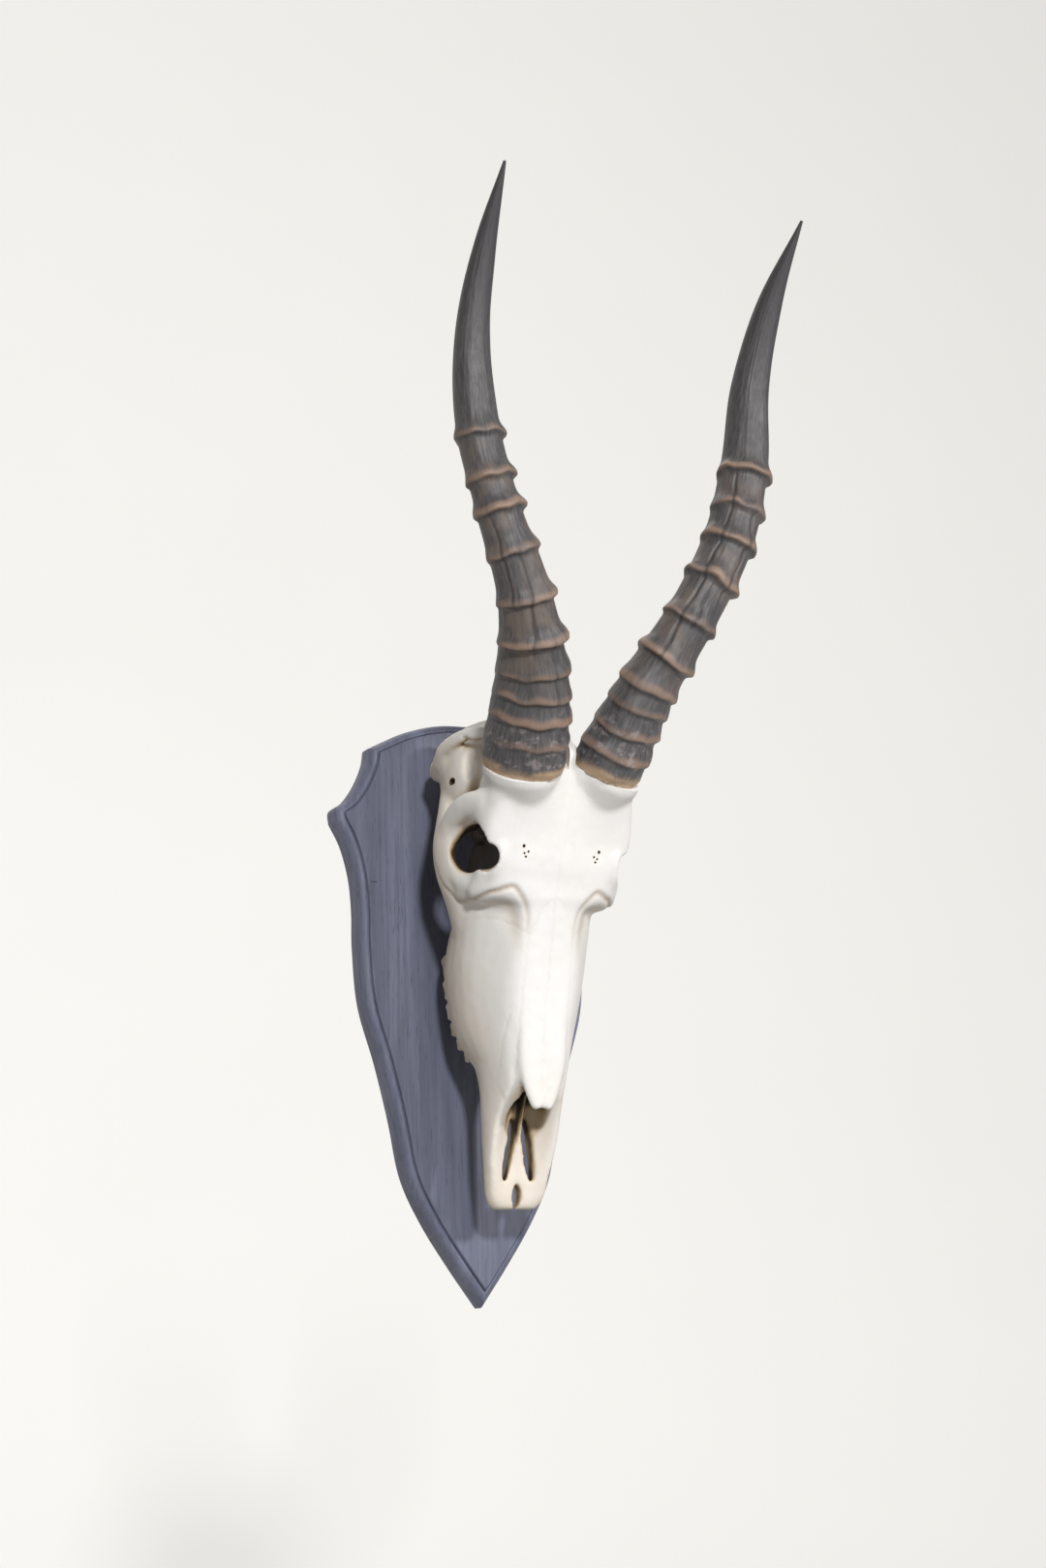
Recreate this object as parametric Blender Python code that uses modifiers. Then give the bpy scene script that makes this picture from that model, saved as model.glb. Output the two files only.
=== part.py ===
"""Blesbok skull with both horns, fixed on a shield-shaped plaque.

Metres, +Z up. The plaque's flat back lies in the plane Y = 0, the face of the skull looks along -Y,
and the skull's mirror plane is X = 0. The origin is in the plaque's back face, half way up it.
Points of the skull are written as (side, out, up): millimetres from the mirror plane, out from the
plaque's back, and above the origin.
"""

import math

import bmesh
import bpy
import numpy as np
from mathutils import Matrix, Vector

MM = 0.001
GAP = 0.3
LEFT, RIGHT = -1, 1

# Plaque: half outline from the top to the tip, in three smooth runs that meet at corners
PLAQUE_TOP_RUN = [(0, 192), (17, 191), (32, 188), (48, 182.5), (62, 175.5), (73, 169.5)]
PLAQUE_SHOULDER_RUN = [(73, 169.5), (74.5, 160), (78, 150.5), (83, 141), (89.5, 132.5), (98, 126), (98, 118)]
PLAQUE_SIDE_RUN = [(98, 118), (90, 102.5), (84.5, 82), (82.5, 60), (82.3, 36), (79, -1), (68, -38),
                   (59, -74), (51.5, -110), (38, -138), (20, -165), (0, -192)]
PLAQUE_THICKNESS = 18.0
PLAQUE_RIM_HEIGHT = 16.0
PLAQUE_EDGE_ROUND = 5.0
PLAQUE_FIELD_INSET = 6.2
PLAQUE_FIELD_STEP = 9.0
MERGED = 0.00001
FLAT_ANGLE = 0.001

# Horns: (side, out, up, radius, skew of the oval section) of stations at equal steps, base to tip
LEFT_HORN = [(30, 146.5, 127.8, 24.9, 0.10), (40.5, 183, 172, 20.4, 0.13), (57.5, 209, 214, 16.4, 0.02),
             (79, 220.5, 261, 14.8, -0.10), (92.5, 223, 311, 14.2, -0.08), (98, 230.5, 364, 11.4, -0.08),
             (99.5, 252, 410, 7.5, -0.08), (102.5, 287.5, 449, 0.9, 0.0)]
RIGHT_HORN = [(28, 147, 129, 24.9, 0.10), (39.5, 183, 174, 20.4, 0.13), (59, 209, 216, 16.4, 0.02),
              (80, 221.5, 263, 14.8, -0.10), (93.5, 224.5, 314, 14.2, -0.08), (97, 231.5, 367, 11.4, -0.08),
              (100, 254.5, 414, 7.5, -0.08), (102.5, 291, 454, 0.9, 0.0)]
LEFT_RINGS = [0.050, 0.087, 0.122, 0.160, 0.211, 0.282, 0.358, 0.425, 0.478, 0.551]
RIGHT_RINGS = [0.040, 0.078, 0.115, 0.148, 0.199, 0.273, 0.350, 0.422, 0.484, 0.552]
RING_HEIGHT = 4.7
RING_HALF_LENGTH = 0.013
HORN_SIDES = 16

# Skull: half sections of the face, each (up, [(side, out) from the dorsal to the palatal mid-line])
FACE_SECTIONS = [
    (-134, [(0, 62.5), (6, 62.5), (12, 62), (15, 59), (12, 55), (6, 54), (0, 54)]),
    (-128, [(0, 64), (9, 65), (16, 65.5), (19.5, 61), (17, 56), (9, 55), (0, 55)]),
    (-115, [(0, 65.5), (10, 67), (18.5, 70), (21.5, 65), (20, 59), (11, 57), (0, 57)]),
    (-98, [(0, 67.5), (11, 70), (21, 76.5), (24, 71), (22.5, 62), (13, 59), (0, 59)]),
    (-80, [(0, 75), (12, 79), (21, 84), (25, 74.5), (23, 63), (15, 60), (0, 60)]),
    (-62, [(0, 95), (13, 97), (20, 95), (25.5, 79), (24, 64), (15, 59), (0, 60)]),
    (-47, [(0, 104), (14, 103.5), (23, 96), (28, 78), (25, 60), (14, 54), (0, 58)]),
    (-39, [(0, 106.5), (14, 105), (24, 97), (31, 77), (28, 53), (15, 44), (0, 58)]),
    (-25, [(0, 109), (15, 108), (26, 98), (36, 76), (34, 50), (18, 41), (0, 60)]),
    (-5, [(0, 113), (17, 112), (29, 101), (40.5, 78), (37, 48), (22, 36), (0, 62)]),
    (15, [(0, 118), (18, 117), (30, 105), (42.5, 82), (38.5, 47), (22, 29), (0, 60)]),
    (35, [(0, 124), (17, 122.5), (29, 112), (43, 89), (38, 54), (22, 30), (0, 58)]),
    (50, [(0, 129), (19, 127), (29, 116), (44, 92), (36, 60), (20, 38), (0, 58)]),
]
# The roof from the brow to the crown between the horns
ROOF_SECTIONS = [
    (44, [(0, 127), (16, 125.5), (22, 121), (24, 112), (20, 104), (12, 98), (0, 97)]),
    (50, [(0, 129.5), (22, 128.5), (38, 122), (48, 110), (40, 100), (20, 97), (0, 96)]),
    (58, [(0, 132), (27, 131), (44, 125), (51, 113), (44, 103), (20, 99), (0, 97)]),
    (70, [(0, 137), (28, 136), (44, 131.5), (49, 123), (38, 112), (18, 103), (0, 99)]),
    (85, [(0, 142), (28, 141), (47, 138), (51.5, 130), (42, 118), (18, 104), (0, 99)]),
    (100, [(0, 147), (28, 149), (47, 144), (53, 129), (48, 115), (22, 104), (0, 98)]),
    (112, [(0, 151), (30, 157), (46, 149), (50, 130), (42, 110), (20, 99), (0, 95)]),
    (125, [(0, 156), (31, 164), (45, 153), (45, 126), (37, 104), (20, 95), (0, 90)]),
    (138, [(0, 159), (28, 163), (41, 151), (38, 126), (33, 104), (18, 95), (0, 90)]),
    (148, [(0, 150), (20, 149), (30, 138), (32, 120), (28, 100), (16, 92), (0, 90)]),
]
# Rounded masses of the brain end: (centre side, out, up), (half sizes side, out, up)
MID_MASSES = [
    ((0, 92, 130), (38, 50, 40)),
    ((0, 70, 146), (48, 38, 34)),
    ((0, 44, 126), (16, 13, 40)),
    ((0, 80, 78), (15, 48, 46)),
]
SIDE_MASSES = [
    ((14, 50, 170), (10, 15, 11)),
    ((21, 38, 128), (10, 9, 13)),
    ((14, 50, 72), (4, 18, 30)),
    ((36, 52, 150), (8, 20, 10)),
    ((44, 96, 62), (8, 15, 12)),
    ((40, 113, 81), (11, 25, 26)),
    ((37, 80, 134), (11, 24, 26)),
]
# Tapered rods on each side: lists of (side, out, up, half thickness, half height)
CHEEK_ARCH = [(35, 74, 28, 6, 12), (42, 79, 50, 6, 13), (51, 82, 72, 5, 14), (52.5, 80, 94, 5, 13),
              (47, 71, 114, 4, 9), (40, 63, 130, 5, 8), (33, 55, 146, 6, 8)]
EYE_BAR = [(46, 132, 104, 8, 10), (51, 114, 108, 6, 9), (52.5, 94, 104, 5, 9), (52.5, 80, 92, 5, 8)]
EAR_SPUR = [(31, 46, 150, 7, 8), (27, 34, 143, 5, 7), (23, 24, 136, 3.5, 5)]
NASAL_BONE = [(8, 112, 6, 9, 4), (8, 107, -20, 9, 3.5), (8, 104, -45, 8.5, 3.2), (6.5, 102, -62, 7, 3),
              (3.5, 101, -77, 3.5, 2.6)]
TEMPLE_RIDGE = [(36, 120, 156, 3, 5), (45, 98, 158, 3, 5), (49, 76, 155, 3, 5), (46, 58, 148, 3, 5)]
SEPTUM = [(0, 62, -116, 2.4, 4), (0, 65, -98, 2.0, 4), (0, 68, -84, 1.5, 5), (0, 73, -72, 1.4, 5),
          (0, 80, -58, 1.4, 6)]
EYE_CENTRE, EYE_RADIUS = (45.5, 110.5, 82), 22.5
EYE_RIM_WIDTH, EYE_RIM_THICKNESS = 6.5, 4.5

# Hollows of the skull: (centre side, out, up), (half sizes side, out, up)
MID_HOLLOWS = [
    ((0, 82, -48), (15, 13, 40)),
    ((0, 84, -85), (14.5, 17, 22)),
    ((0, 30, -8), (16.5, 28, 66)),
    ((0, 60, 176), (10, 9, 20)),
    ((0, 56, -126), (3.1, 30, 7.5)),
    ((0, 56, -134), (0.8, 30, 8)),
]
SIDE_HOLLOWS = [
    ((34, 108, 82), (22, 24, 18)),
    ((51, 113, 82), (11, 21.5, 16)),
    ((45.5, 126, 73.5), (7, 11.5, 9)),
    ((36, 80, 84), (14, 26, 16)),
    ((46.5, 101, 141), (7.5, 7, 16)),
]
SLIT_CENTRE, SLIT_HALF, SLIT_LEAN = (6.6, 58, -98), (3.3, 26, 21.5), -9.0
TOOTH_SEAT_OUT, TOOTH_SEAT_SLOPE = 45.0, -0.32
CROWN_HEIGHT = 11.0
# Cheek teeth, back to front: (side, up, half width, half length)
TEETH = [("m3", 24.5, 26.5, 6.2, 8.2), ("m2", 26.2, 9.9, 6.3, 8.0), ("m1", 26.8, -5.2, 6.1, 6.8),
         ("p4", 26.6, -17.6, 5.4, 5.2), ("p3", 24.6, -27.8, 4.7, 4.7), ("p2", 21.3, -36.6, 4.1, 3.8)]

SCREW_UP, SCREW_RADIUS, SCREW_LENGTH = 138.0, 2.2, 52.0
SCREW_HEAD_RADIUS, SCREW_HEAD_DEPTH = 4.4, 3.0

FORM_VOXEL = 2.6
SKULL_SHARE = 0.085

COLOURS = {
    "bone": ((0.80, 0.75, 0.66), 0.55, 0.0),
    "horn": ((0.075, 0.065, 0.062), 0.50, 0.0),
    "enamel": ((0.72, 0.64, 0.50), 0.35, 0.0),
    "stained_wood": ((0.13, 0.15, 0.20), 0.55, 0.0),
    "steel": ((0.55, 0.56, 0.58), 0.35, 1.0),
}


def at(side, out, up):
    """A point given by its side, its distance out from the plaque's back and its height, in metres."""
    return Vector((side * MM, -out * MM, up * MM))


def clear_scene():
    for thing in list(bpy.data.objects):
        bpy.data.objects.remove(thing)


def new_collection(name):
    made = bpy.data.collections.new(name)
    bpy.context.scene.collection.children.link(made)
    return made


def material(name):
    colour, roughness, metallic = COLOURS[name]
    made = bpy.data.materials.new(name)
    made.use_nodes = True
    shader = made.node_tree.nodes["Principled BSDF"]
    shader.inputs["Base Color"].default_value = (*colour, 1)
    shader.inputs["Roughness"].default_value = roughness
    shader.inputs["Metallic"].default_value = metallic
    return made


def object_of(name, shape, collection, surface=None):
    """A new object made from a bmesh, which is freed."""
    bmesh.ops.recalc_face_normals(shape, faces=shape.faces)
    mesh = bpy.data.meshes.new(name)
    shape.to_mesh(mesh)
    shape.free()
    made = bpy.data.objects.new(name, mesh)
    collection.objects.link(made)
    if surface:
        mesh.materials.append(surface)
    return made


def cutter_of(name, shape, collection):
    made = object_of(name, shape, collection)
    made.hide_render = True
    made.display_type = "WIRE"
    return made


def combined(target, name, other, operation):
    boolean = target.modifiers.new(name, "BOOLEAN")
    boolean.operation = operation
    boolean.solver = "EXACT"
    boolean.object = other


def cut_with(target, name, cutter):
    combined(target, name, cutter, "DIFFERENCE")


def join_with(target, name, other):
    combined(target, name, other, "UNION")


def smooth_run(points, steps):
    """A smooth line through the points, with this many steps between each two."""
    points = np.array(points, float)
    before = np.vstack([2 * points[0] - points[1], points, 2 * points[-1] - points[-2]])
    line = []
    for a, b, c, d in zip(before[:-3], before[1:-2], before[2:-1], before[3:]):
        for t in np.arange(steps) / steps:
            line.append(0.5 * (2 * b + (c - a) * t + (2 * a - 5 * b + 4 * c - d) * t ** 2
                               + (3 * b - a - 3 * c + d) * t ** 3))
    line.append(points[-1])
    return np.array(line)


def loft(shape, rings):
    """A closed skin over rings that have the same number of points."""
    rows = [[shape.verts.new(point) for point in ring] for ring in rings]
    for below, above in zip(rows, rows[1:]):
        for i in range(len(below)):
            j = (i + 1) % len(below)
            shape.faces.new((below[i], below[j], above[j], above[i]))
    shape.faces.new(rows[0])
    shape.faces.new(rows[-1])


def ball(shape, centre, half):
    """An ellipsoid with its axes along side, out and up."""
    scale = Matrix.Diagonal((half[0] * MM, half[1] * MM, half[2] * MM, 1))
    place = Matrix.Translation(at(*centre)) @ scale
    bmesh.ops.create_uvsphere(shape, u_segments=20, v_segments=12, radius=1, matrix=place)


def section_rings(sections):
    """Whole rings from half sections, with stations added between those listed."""
    flat = [[up, *np.ravel(half)] for up, half in sections]
    for row in smooth_run(flat, 2):
        up, half = row[0], row[1:].reshape(-1, 2)
        half = smooth_run(half, 2)
        whole = [(x, out) for x, out in half] + [(-x, out) for x, out in half[-2:0:-1]]
        yield [at(x, out, up) for x, out in whole]


def rod_rings(stations, hand):
    """Rings of an oval rod through (side, out, up, half thickness, half height) stations."""
    rows = smooth_run(stations, 3).tolist()
    for i, row in enumerate(rows):
        before, after = rows[max(i - 1, 0)], rows[min(i + 1, len(rows) - 1)]
        along = at(hand * (after[0] - before[0]), after[1] - before[1], after[2] - before[2]).normalized()
        thick = Vector((1, 0, 0)) - along * along.x
        thick.normalize()
        wide = along.cross(thick)
        centre = at(hand * row[0], row[1], row[2])
        turns = [2 * math.pi * k / 10 for k in range(10)]
        yield [centre + MM * (row[3] * math.cos(a) * thick + row[4] * math.sin(a) * wide) for a in turns]


def mirrored(side_list):
    for centre, half in side_list:
        for hand in (LEFT, RIGHT):
            yield (hand * centre[0], centre[1], centre[2]), half


def eye_rim(shape, hand):
    """A flattened ring around the eye socket, opening sideways and a little forward."""
    bpy.ops.mesh.primitive_torus_add(major_radius=EYE_RADIUS * MM, minor_radius=EYE_RIM_WIDTH * MM,
                                     major_segments=24, minor_segments=8)
    ring = bpy.context.object
    flatter = Matrix.Diagonal((1, 1, EYE_RIM_THICKNESS / EYE_RIM_WIDTH, 1))
    turn = Matrix.Rotation(hand * math.radians(-14), 4, "Z") @ Matrix.Rotation(math.radians(90), 4, "Y")
    place = Matrix.Translation(at(hand * EYE_CENTRE[0], EYE_CENTRE[1], EYE_CENTRE[2]))
    ring.data.transform(place @ turn @ flatter)
    shape.from_mesh(ring.data)
    bpy.data.objects.remove(ring)


def station_at(line, t):
    """The values of a line at a fraction of its steps."""
    steps = np.linspace(0, 1, len(line))
    return [float(np.interp(t, steps, line[:, k])) for k in range(line.shape[1])]


def horn_frame(line, hand, t):
    """Centre of a horn at a fraction of its length, and its directions along, across and to the front."""
    row, before, after = (station_at(line, here) for here in (t, max(t - 0.01, 0), min(t + 0.01, 1)))
    along = at(hand * (after[0] - before[0]), after[1] - before[1], after[2] - before[2]).normalized()
    across = (Vector((hand, 0, 0)) - along * along.x * hand).normalized()
    return at(hand * row[0], row[1], row[2]), along, across, along.cross(across) * hand


def pedicle_rings(stations, hand):
    """A bony stub that carries the horn."""
    base, along, across, front = horn_frame(smooth_run(stations, 40), hand, 0)
    for back, radius in ((34, 12), (16, 20.5), (4, 24.4), (-6, 23.5)):
        centre = base - along * back * MM
        turns = [2 * math.pi * k / 20 for k in range(20)]
        yield [centre + MM * radius * (math.cos(a) * across + math.sin(a) * front) for a in turns]


def skull_form():
    """All the masses of the skull, overlapping in one mesh."""
    shape = bmesh.new()
    loft(shape, list(section_rings(FACE_SECTIONS)))
    loft(shape, list(section_rings(ROOF_SECTIONS)))
    for centre, half in [*MID_MASSES, *mirrored(SIDE_MASSES)]:
        ball(shape, centre, half)
    for hand, horn in ((LEFT, LEFT_HORN), (RIGHT, RIGHT_HORN)):
        for rod in (CHEEK_ARCH, EYE_BAR, EAR_SPUR, NASAL_BONE, TEMPLE_RIDGE):
            loft(shape, list(rod_rings(rod, hand)))
        loft(shape, list(pedicle_rings(horn, hand)))
        eye_rim(shape, hand)
    return shape


def fuse(target, voxel):
    remesh = target.modifiers.new("fuse", "REMESH")
    remesh.mode = "VOXEL"
    remesh.voxel_size = voxel * MM


def slit(shape, hand):
    """A slit of the upper jaw, leaning so that the two stand closer together above."""
    lean = Matrix.Rotation(hand * math.radians(SLIT_LEAN), 4, "Y")
    scale = Matrix.Diagonal((*[size * MM for size in SLIT_HALF], 1))
    place = Matrix.Translation(at(hand * SLIT_CENTRE[0], SLIT_CENTRE[1], SLIT_CENTRE[2]))
    bmesh.ops.create_uvsphere(shape, u_segments=20, v_segments=12, radius=1, matrix=place @ lean @ scale)


def box_along(shape, size, place):
    bmesh.ops.create_cube(shape, size=1, matrix=place @ Matrix.Diagonal((*size, 1)))


def seat_place():
    """Place and turn of the flat on which the cheek teeth stand, with local +Y towards the plaque."""
    slope = math.atan(TOOTH_SEAT_SLOPE)
    return Matrix.Translation(at(0, TOOTH_SEAT_OUT, 0)) @ Matrix.Rotation(slope, 4, "X")


def fitting_cuts(cutters):
    """What keeps the bone clear of its neighbours: horn seats, tooth flats, screw hole and plaque."""
    for hand, stations, side in ((LEFT, LEFT_HORN, "left"), (RIGHT, RIGHT_HORN, "right")):
        base, along, _, _ = horn_frame(smooth_run(stations, 40), hand, 0)
        seat = bmesh.new()
        turn = along.to_track_quat("Z", "Y").to_matrix().to_4x4()
        place = Matrix.Translation(base + along * (30 - GAP) * MM) @ turn
        bmesh.ops.create_cone(seat, cap_ends=True, segments=24, radius1=29 * MM, radius2=31 * MM,
                              depth=60 * MM, matrix=place)
        yield cutter_of(f"horn seat {side}", seat, cutters)
        flat = bmesh.new()
        place = seat_place() @ Matrix.Translation((hand * 28 * MM, 12 * MM, -4 * MM))
        box_along(flat, (27 * MM, 24 * MM, 96 * MM), place)
        yield cutter_of(f"tooth flat {side}", flat, cutters)
    hole = bmesh.new()
    bmesh.ops.create_cone(hole, cap_ends=True, segments=16, radius1=(SCREW_RADIUS + GAP) * MM,
                          radius2=(SCREW_RADIUS + GAP) * MM, depth=2 * (SCREW_LENGTH + 1) * MM,
                          matrix=Matrix.Translation(at(0, 0, SCREW_UP)) @ Matrix.Rotation(math.pi / 2, 4, "X"))
    yield cutter_of("screw hole", hole, cutters)
    front = bmesh.new()
    box_along(front, (0.2, 0.1, 0.4), Matrix.Translation(at(0, PLAQUE_THICKNESS + GAP - 50, 60)))
    yield cutter_of("plaque side", front, cutters)


def skull(parts, cutters):
    """The bone that grew as one piece: face, roof, brain end, cheek arches and horn stubs."""
    made = object_of("skull", skull_form(), parts, material("bone"))
    fuse(made, FORM_VOXEL)
    hollows = bmesh.new()
    for centre, half in [*MID_HOLLOWS, *mirrored(SIDE_HOLLOWS)]:
        ball(hollows, centre, half)
    for hand in (LEFT, RIGHT):
        slit(hollows, hand)
    hollow = cutter_of("skull hollows", hollows, cutters)
    fuse(hollow, 1.2)
    cut_with(made, "hollows", hollow)
    divider = bmesh.new()
    loft(divider, list(rod_rings(SEPTUM, RIGHT)))
    divider = cutter_of("nose septum", divider, cutters)
    join_with(made, "septum", divider)
    fuse(made, FORM_VOXEL)
    soften = made.modifiers.new("soften", "SMOOTH")
    soften.factor = 0.5
    soften.iterations = 3
    thin = made.modifiers.new("thin out", "DECIMATE")
    thin.ratio = SKULL_SHARE
    for cutter in fitting_cuts(cutters):
        cut_with(made, cutter.name, cutter)
    return made


def tooth_rings(hand, side, up, half_width, half_length):
    """Rings of a crown, waisted in the middle into two lobes and higher on its cheek side."""
    for height, swell, lift in ((GAP, 0.92, 0), (0.6 * CROWN_HEIGHT, 1.0, 0), (CROWN_HEIGHT, 0.9, 1.2)):
        ring = []
        for k in range(12):
            a = 2 * math.pi * k / 12
            x, z = (math.copysign(abs(wave) ** 0.6, wave) for wave in (math.cos(a), math.sin(a)))
            waist = 1 - 0.2 * math.exp(-(z / 0.25) ** 2)
            ring.append(seat_place() @ Vector((
                (hand * side + half_width * swell * waist * x) * MM,
                (height + lift * hand * x) * MM,
                (up + half_length * swell * z) * MM)))
        yield ring


def teeth(parts):
    """Twelve cheek teeth, each a crown that stands on the jaw's flat."""
    enamel = material("enamel")
    for hand, side in ((LEFT, "left"), (RIGHT, "right")):
        for name, *size in TEETH:
            shape = bmesh.new()
            loft(shape, list(tooth_rings(hand, *size)))
            object_of(f"tooth_{side}_{name}", shape, parts, enamel)


def plaque_outline(inset):
    """The plaque's outline, moved inwards by this much, as (side, up) points."""
    runs = [smooth_run(run, steps) for run, steps in
            ((PLAQUE_TOP_RUN, 2), (PLAQUE_SHOULDER_RUN, 2), (PLAQUE_SIDE_RUN, 2))]
    half = [tuple(point) for run in runs for point in run[:-1]] + [tuple(runs[-1][-1])]
    whole = np.array(half + [(-x, up) for x, up in half[-2:0:-1]])
    before, after = np.roll(whole, 1, axis=0), np.roll(whole, -1, axis=0)
    into = (whole - before) / np.linalg.norm(whole - before, axis=1)[:, None]
    out_of = (after - whole) / np.linalg.norm(after - whole, axis=1)[:, None]
    normals = [np.column_stack([line[:, 1], -line[:, 0]]) for line in (into, out_of)]
    mitre = normals[0] + normals[1]
    mitre /= (1 + (normals[0] * normals[1]).sum(axis=1))[:, None]
    return whole + inset * mitre


def slab(outline, low, high):
    """A flat outline given thickness, as a bmesh."""
    flat = bpy.data.curves.new("outline", "CURVE")
    flat.dimensions = "2D"
    flat.fill_mode = "BOTH"
    flat.extrude = (high - low) / 2 * MM
    run = flat.splines.new("POLY")
    run.points.add(len(outline) - 1)
    for point, (side, up) in zip(run.points, outline):
        point.co = (side * MM, up * MM, 0, 1)
    run.use_cyclic_u = True
    carrier = bpy.data.objects.new("outline", flat)
    shape = bmesh.new()
    shape.from_mesh(carrier.to_mesh())
    bpy.data.objects.remove(carrier)
    bmesh.ops.remove_doubles(shape, verts=shape.verts, dist=MERGED)
    bmesh.ops.dissolve_limit(shape, angle_limit=FLAT_ANGLE, verts=shape.verts, edges=shape.edges)
    stand = Matrix.Translation(at(0, (low + high) / 2, 0)) @ Matrix.Rotation(math.pi / 2, 4, "X")
    bmesh.ops.transform(shape, matrix=stand, verts=shape.verts)
    return shape


def plaque(parts, cutters):
    """A shield-shaped board: a rim with a rounded edge, and a slightly higher field within it."""
    rim = slab(plaque_outline(0), 0, PLAQUE_RIM_HEIGHT)
    front = [edge for edge in rim.edges
             if all(abs(vert.co.y + PLAQUE_RIM_HEIGHT * MM) < 1e-6 for vert in edge.verts)]
    bmesh.ops.bevel(rim, geom=front, offset=PLAQUE_EDGE_ROUND * MM, segments=3, profile=0.5, affect="EDGES")
    made = object_of("plaque", rim, parts, material("stained_wood"))
    field = object_of("field of the plaque", slab(plaque_outline(PLAQUE_FIELD_INSET), PLAQUE_FIELD_STEP,
                                                  PLAQUE_THICKNESS), cutters)
    field.hide_render = True
    field.display_type = "WIRE"
    join_with(made, "field", field)
    hole = cutter_of("plaque screw hole", screw_form(GAP, -1), cutters)
    cut_with(made, "screw hole", hole)


def screw_form(growth, start):
    """A countersunk wood screw driven from the back of the plaque."""
    profile = [(SCREW_HEAD_RADIUS + growth, start), (SCREW_HEAD_RADIUS + growth, 0.6),
               (SCREW_RADIUS + growth, SCREW_HEAD_DEPTH + 0.6 + growth),
               (SCREW_RADIUS + growth, SCREW_LENGTH - 4), (0.4 + growth, SCREW_LENGTH)]
    shape = bmesh.new()
    rings = []
    for radius, out in profile:
        turns = [2 * math.pi * k / 16 for k in range(16)]
        rings.append([at(radius * math.cos(a), out, SCREW_UP + radius * math.sin(a)) for a in turns])
    loft(shape, rings)
    return shape


def horn(name, stations, rings, hand, parts, surface):
    """A ringed horn sheath: oval sections along a curved line, swollen at each ring."""
    shape = bmesh.new()
    heights = sorted({0.0, 1.0, *np.linspace(0.60, 0.98, 9).tolist(),
                      *[r + d * RING_HALF_LENGTH for r in rings for d in (-1, 0, 1)
                        if r + d * RING_HALF_LENGTH > 0.004]})
    line = smooth_run(stations, 40)
    sections = []
    for t in heights:
        centre, along, across, front = horn_frame(line, hand, t)
        radius, skew = station_at(line, t)[3:]
        crest = max(math.exp(-((t - r) / (0.6 * RING_HALF_LENGTH)) ** 2) for r in rings)
        radius += RING_HEIGHT * crest * min(1, radius / 14)
        ring = []
        for k in range(HORN_SIDES):
            a = 2 * math.pi * k / HORN_SIDES
            reach = radius * (1 + skew * math.sin(2 * a))
            ring.append(centre + MM * reach * (math.cos(a) * across + math.sin(a) * front))
        sections.append(ring)
    loft(shape, sections)
    made = object_of(name, shape, parts, surface)
    made.data.shade_smooth()
    return made


def main():
    clear_scene()
    parts = new_collection("blesbok_skull")
    cutters = new_collection("cutters")
    skull(parts, cutters)
    horn_surface = material("horn")
    horn("horn_left", LEFT_HORN, LEFT_RINGS, LEFT, parts, horn_surface)
    horn("horn_right", RIGHT_HORN, RIGHT_RINGS, RIGHT, parts, horn_surface)
    teeth(parts)
    plaque(parts, cutters)
    object_of("fixing_screw", screw_form(0, 0.2), parts, material("steel"))


main()
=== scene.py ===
# %% [markdown]
# # A blesbok skull on its plaque
# The packed part already has the right size and the right main forms, in flat facets. This lesson
# dresses it: bone, horn, teeth and stained wood are modelled again with their fine relief, each in
# the place of the plain solid that it stands for, and given a finish that changes over the surface.
# Lengths in the lists are millimetres. A point of the skull is (side, out, up): sideways from the
# mirror plane, out from the back of the plaque, and up.

# %% Load the packed part
import math

import bmesh
import bpy
import numpy as np
from mathutils import Matrix, Vector, noise
from mathutils.bvhtree import BVHTree


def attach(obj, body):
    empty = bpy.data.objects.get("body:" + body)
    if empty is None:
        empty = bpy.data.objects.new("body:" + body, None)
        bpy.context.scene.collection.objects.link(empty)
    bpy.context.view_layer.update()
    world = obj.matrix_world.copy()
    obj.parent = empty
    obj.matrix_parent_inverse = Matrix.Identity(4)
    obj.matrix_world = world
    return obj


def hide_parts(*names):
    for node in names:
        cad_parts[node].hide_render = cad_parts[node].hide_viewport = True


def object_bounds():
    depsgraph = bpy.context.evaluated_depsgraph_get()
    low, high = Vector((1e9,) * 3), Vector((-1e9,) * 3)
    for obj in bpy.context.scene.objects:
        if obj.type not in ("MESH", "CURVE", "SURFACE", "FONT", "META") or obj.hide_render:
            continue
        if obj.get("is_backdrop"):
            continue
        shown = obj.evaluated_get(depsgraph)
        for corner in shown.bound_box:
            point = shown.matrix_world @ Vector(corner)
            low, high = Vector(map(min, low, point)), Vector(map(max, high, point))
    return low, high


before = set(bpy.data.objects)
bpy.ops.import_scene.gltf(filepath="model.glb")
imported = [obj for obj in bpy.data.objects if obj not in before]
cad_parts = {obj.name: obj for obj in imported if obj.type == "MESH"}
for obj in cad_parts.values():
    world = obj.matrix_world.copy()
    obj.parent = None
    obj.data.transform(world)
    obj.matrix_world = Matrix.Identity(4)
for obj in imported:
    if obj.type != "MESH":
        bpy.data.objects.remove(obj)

MM = 0.001
LEFT, RIGHT = -1, 1
cad_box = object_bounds()
print("solids:", len(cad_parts), "box:", [tuple(round(v, 4) for v in corner) for corner in cad_box])

# %% [markdown]
# ## The camera
# The viewer stands to the left of the skull and a little below it, and looks up. The camera could be
# aimed with a constraint, but a place and three directions say the same thing with nothing left to
# solve. The sensor's 36 mm belong to the long side of the picture, which is its height here.

# %% Camera
CAMERA_PLACE = (-0.6521, -1.3331, -0.2327)
CAMERA_RIGHT = (0.8888, -0.4572, -0.0308)
CAMERA_UP = (-0.0887, -0.2376, 0.9673)
CAMERA_BACK = (-0.4496, -0.8570, -0.2518)
CAMERA_LENS = 51.96


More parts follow.
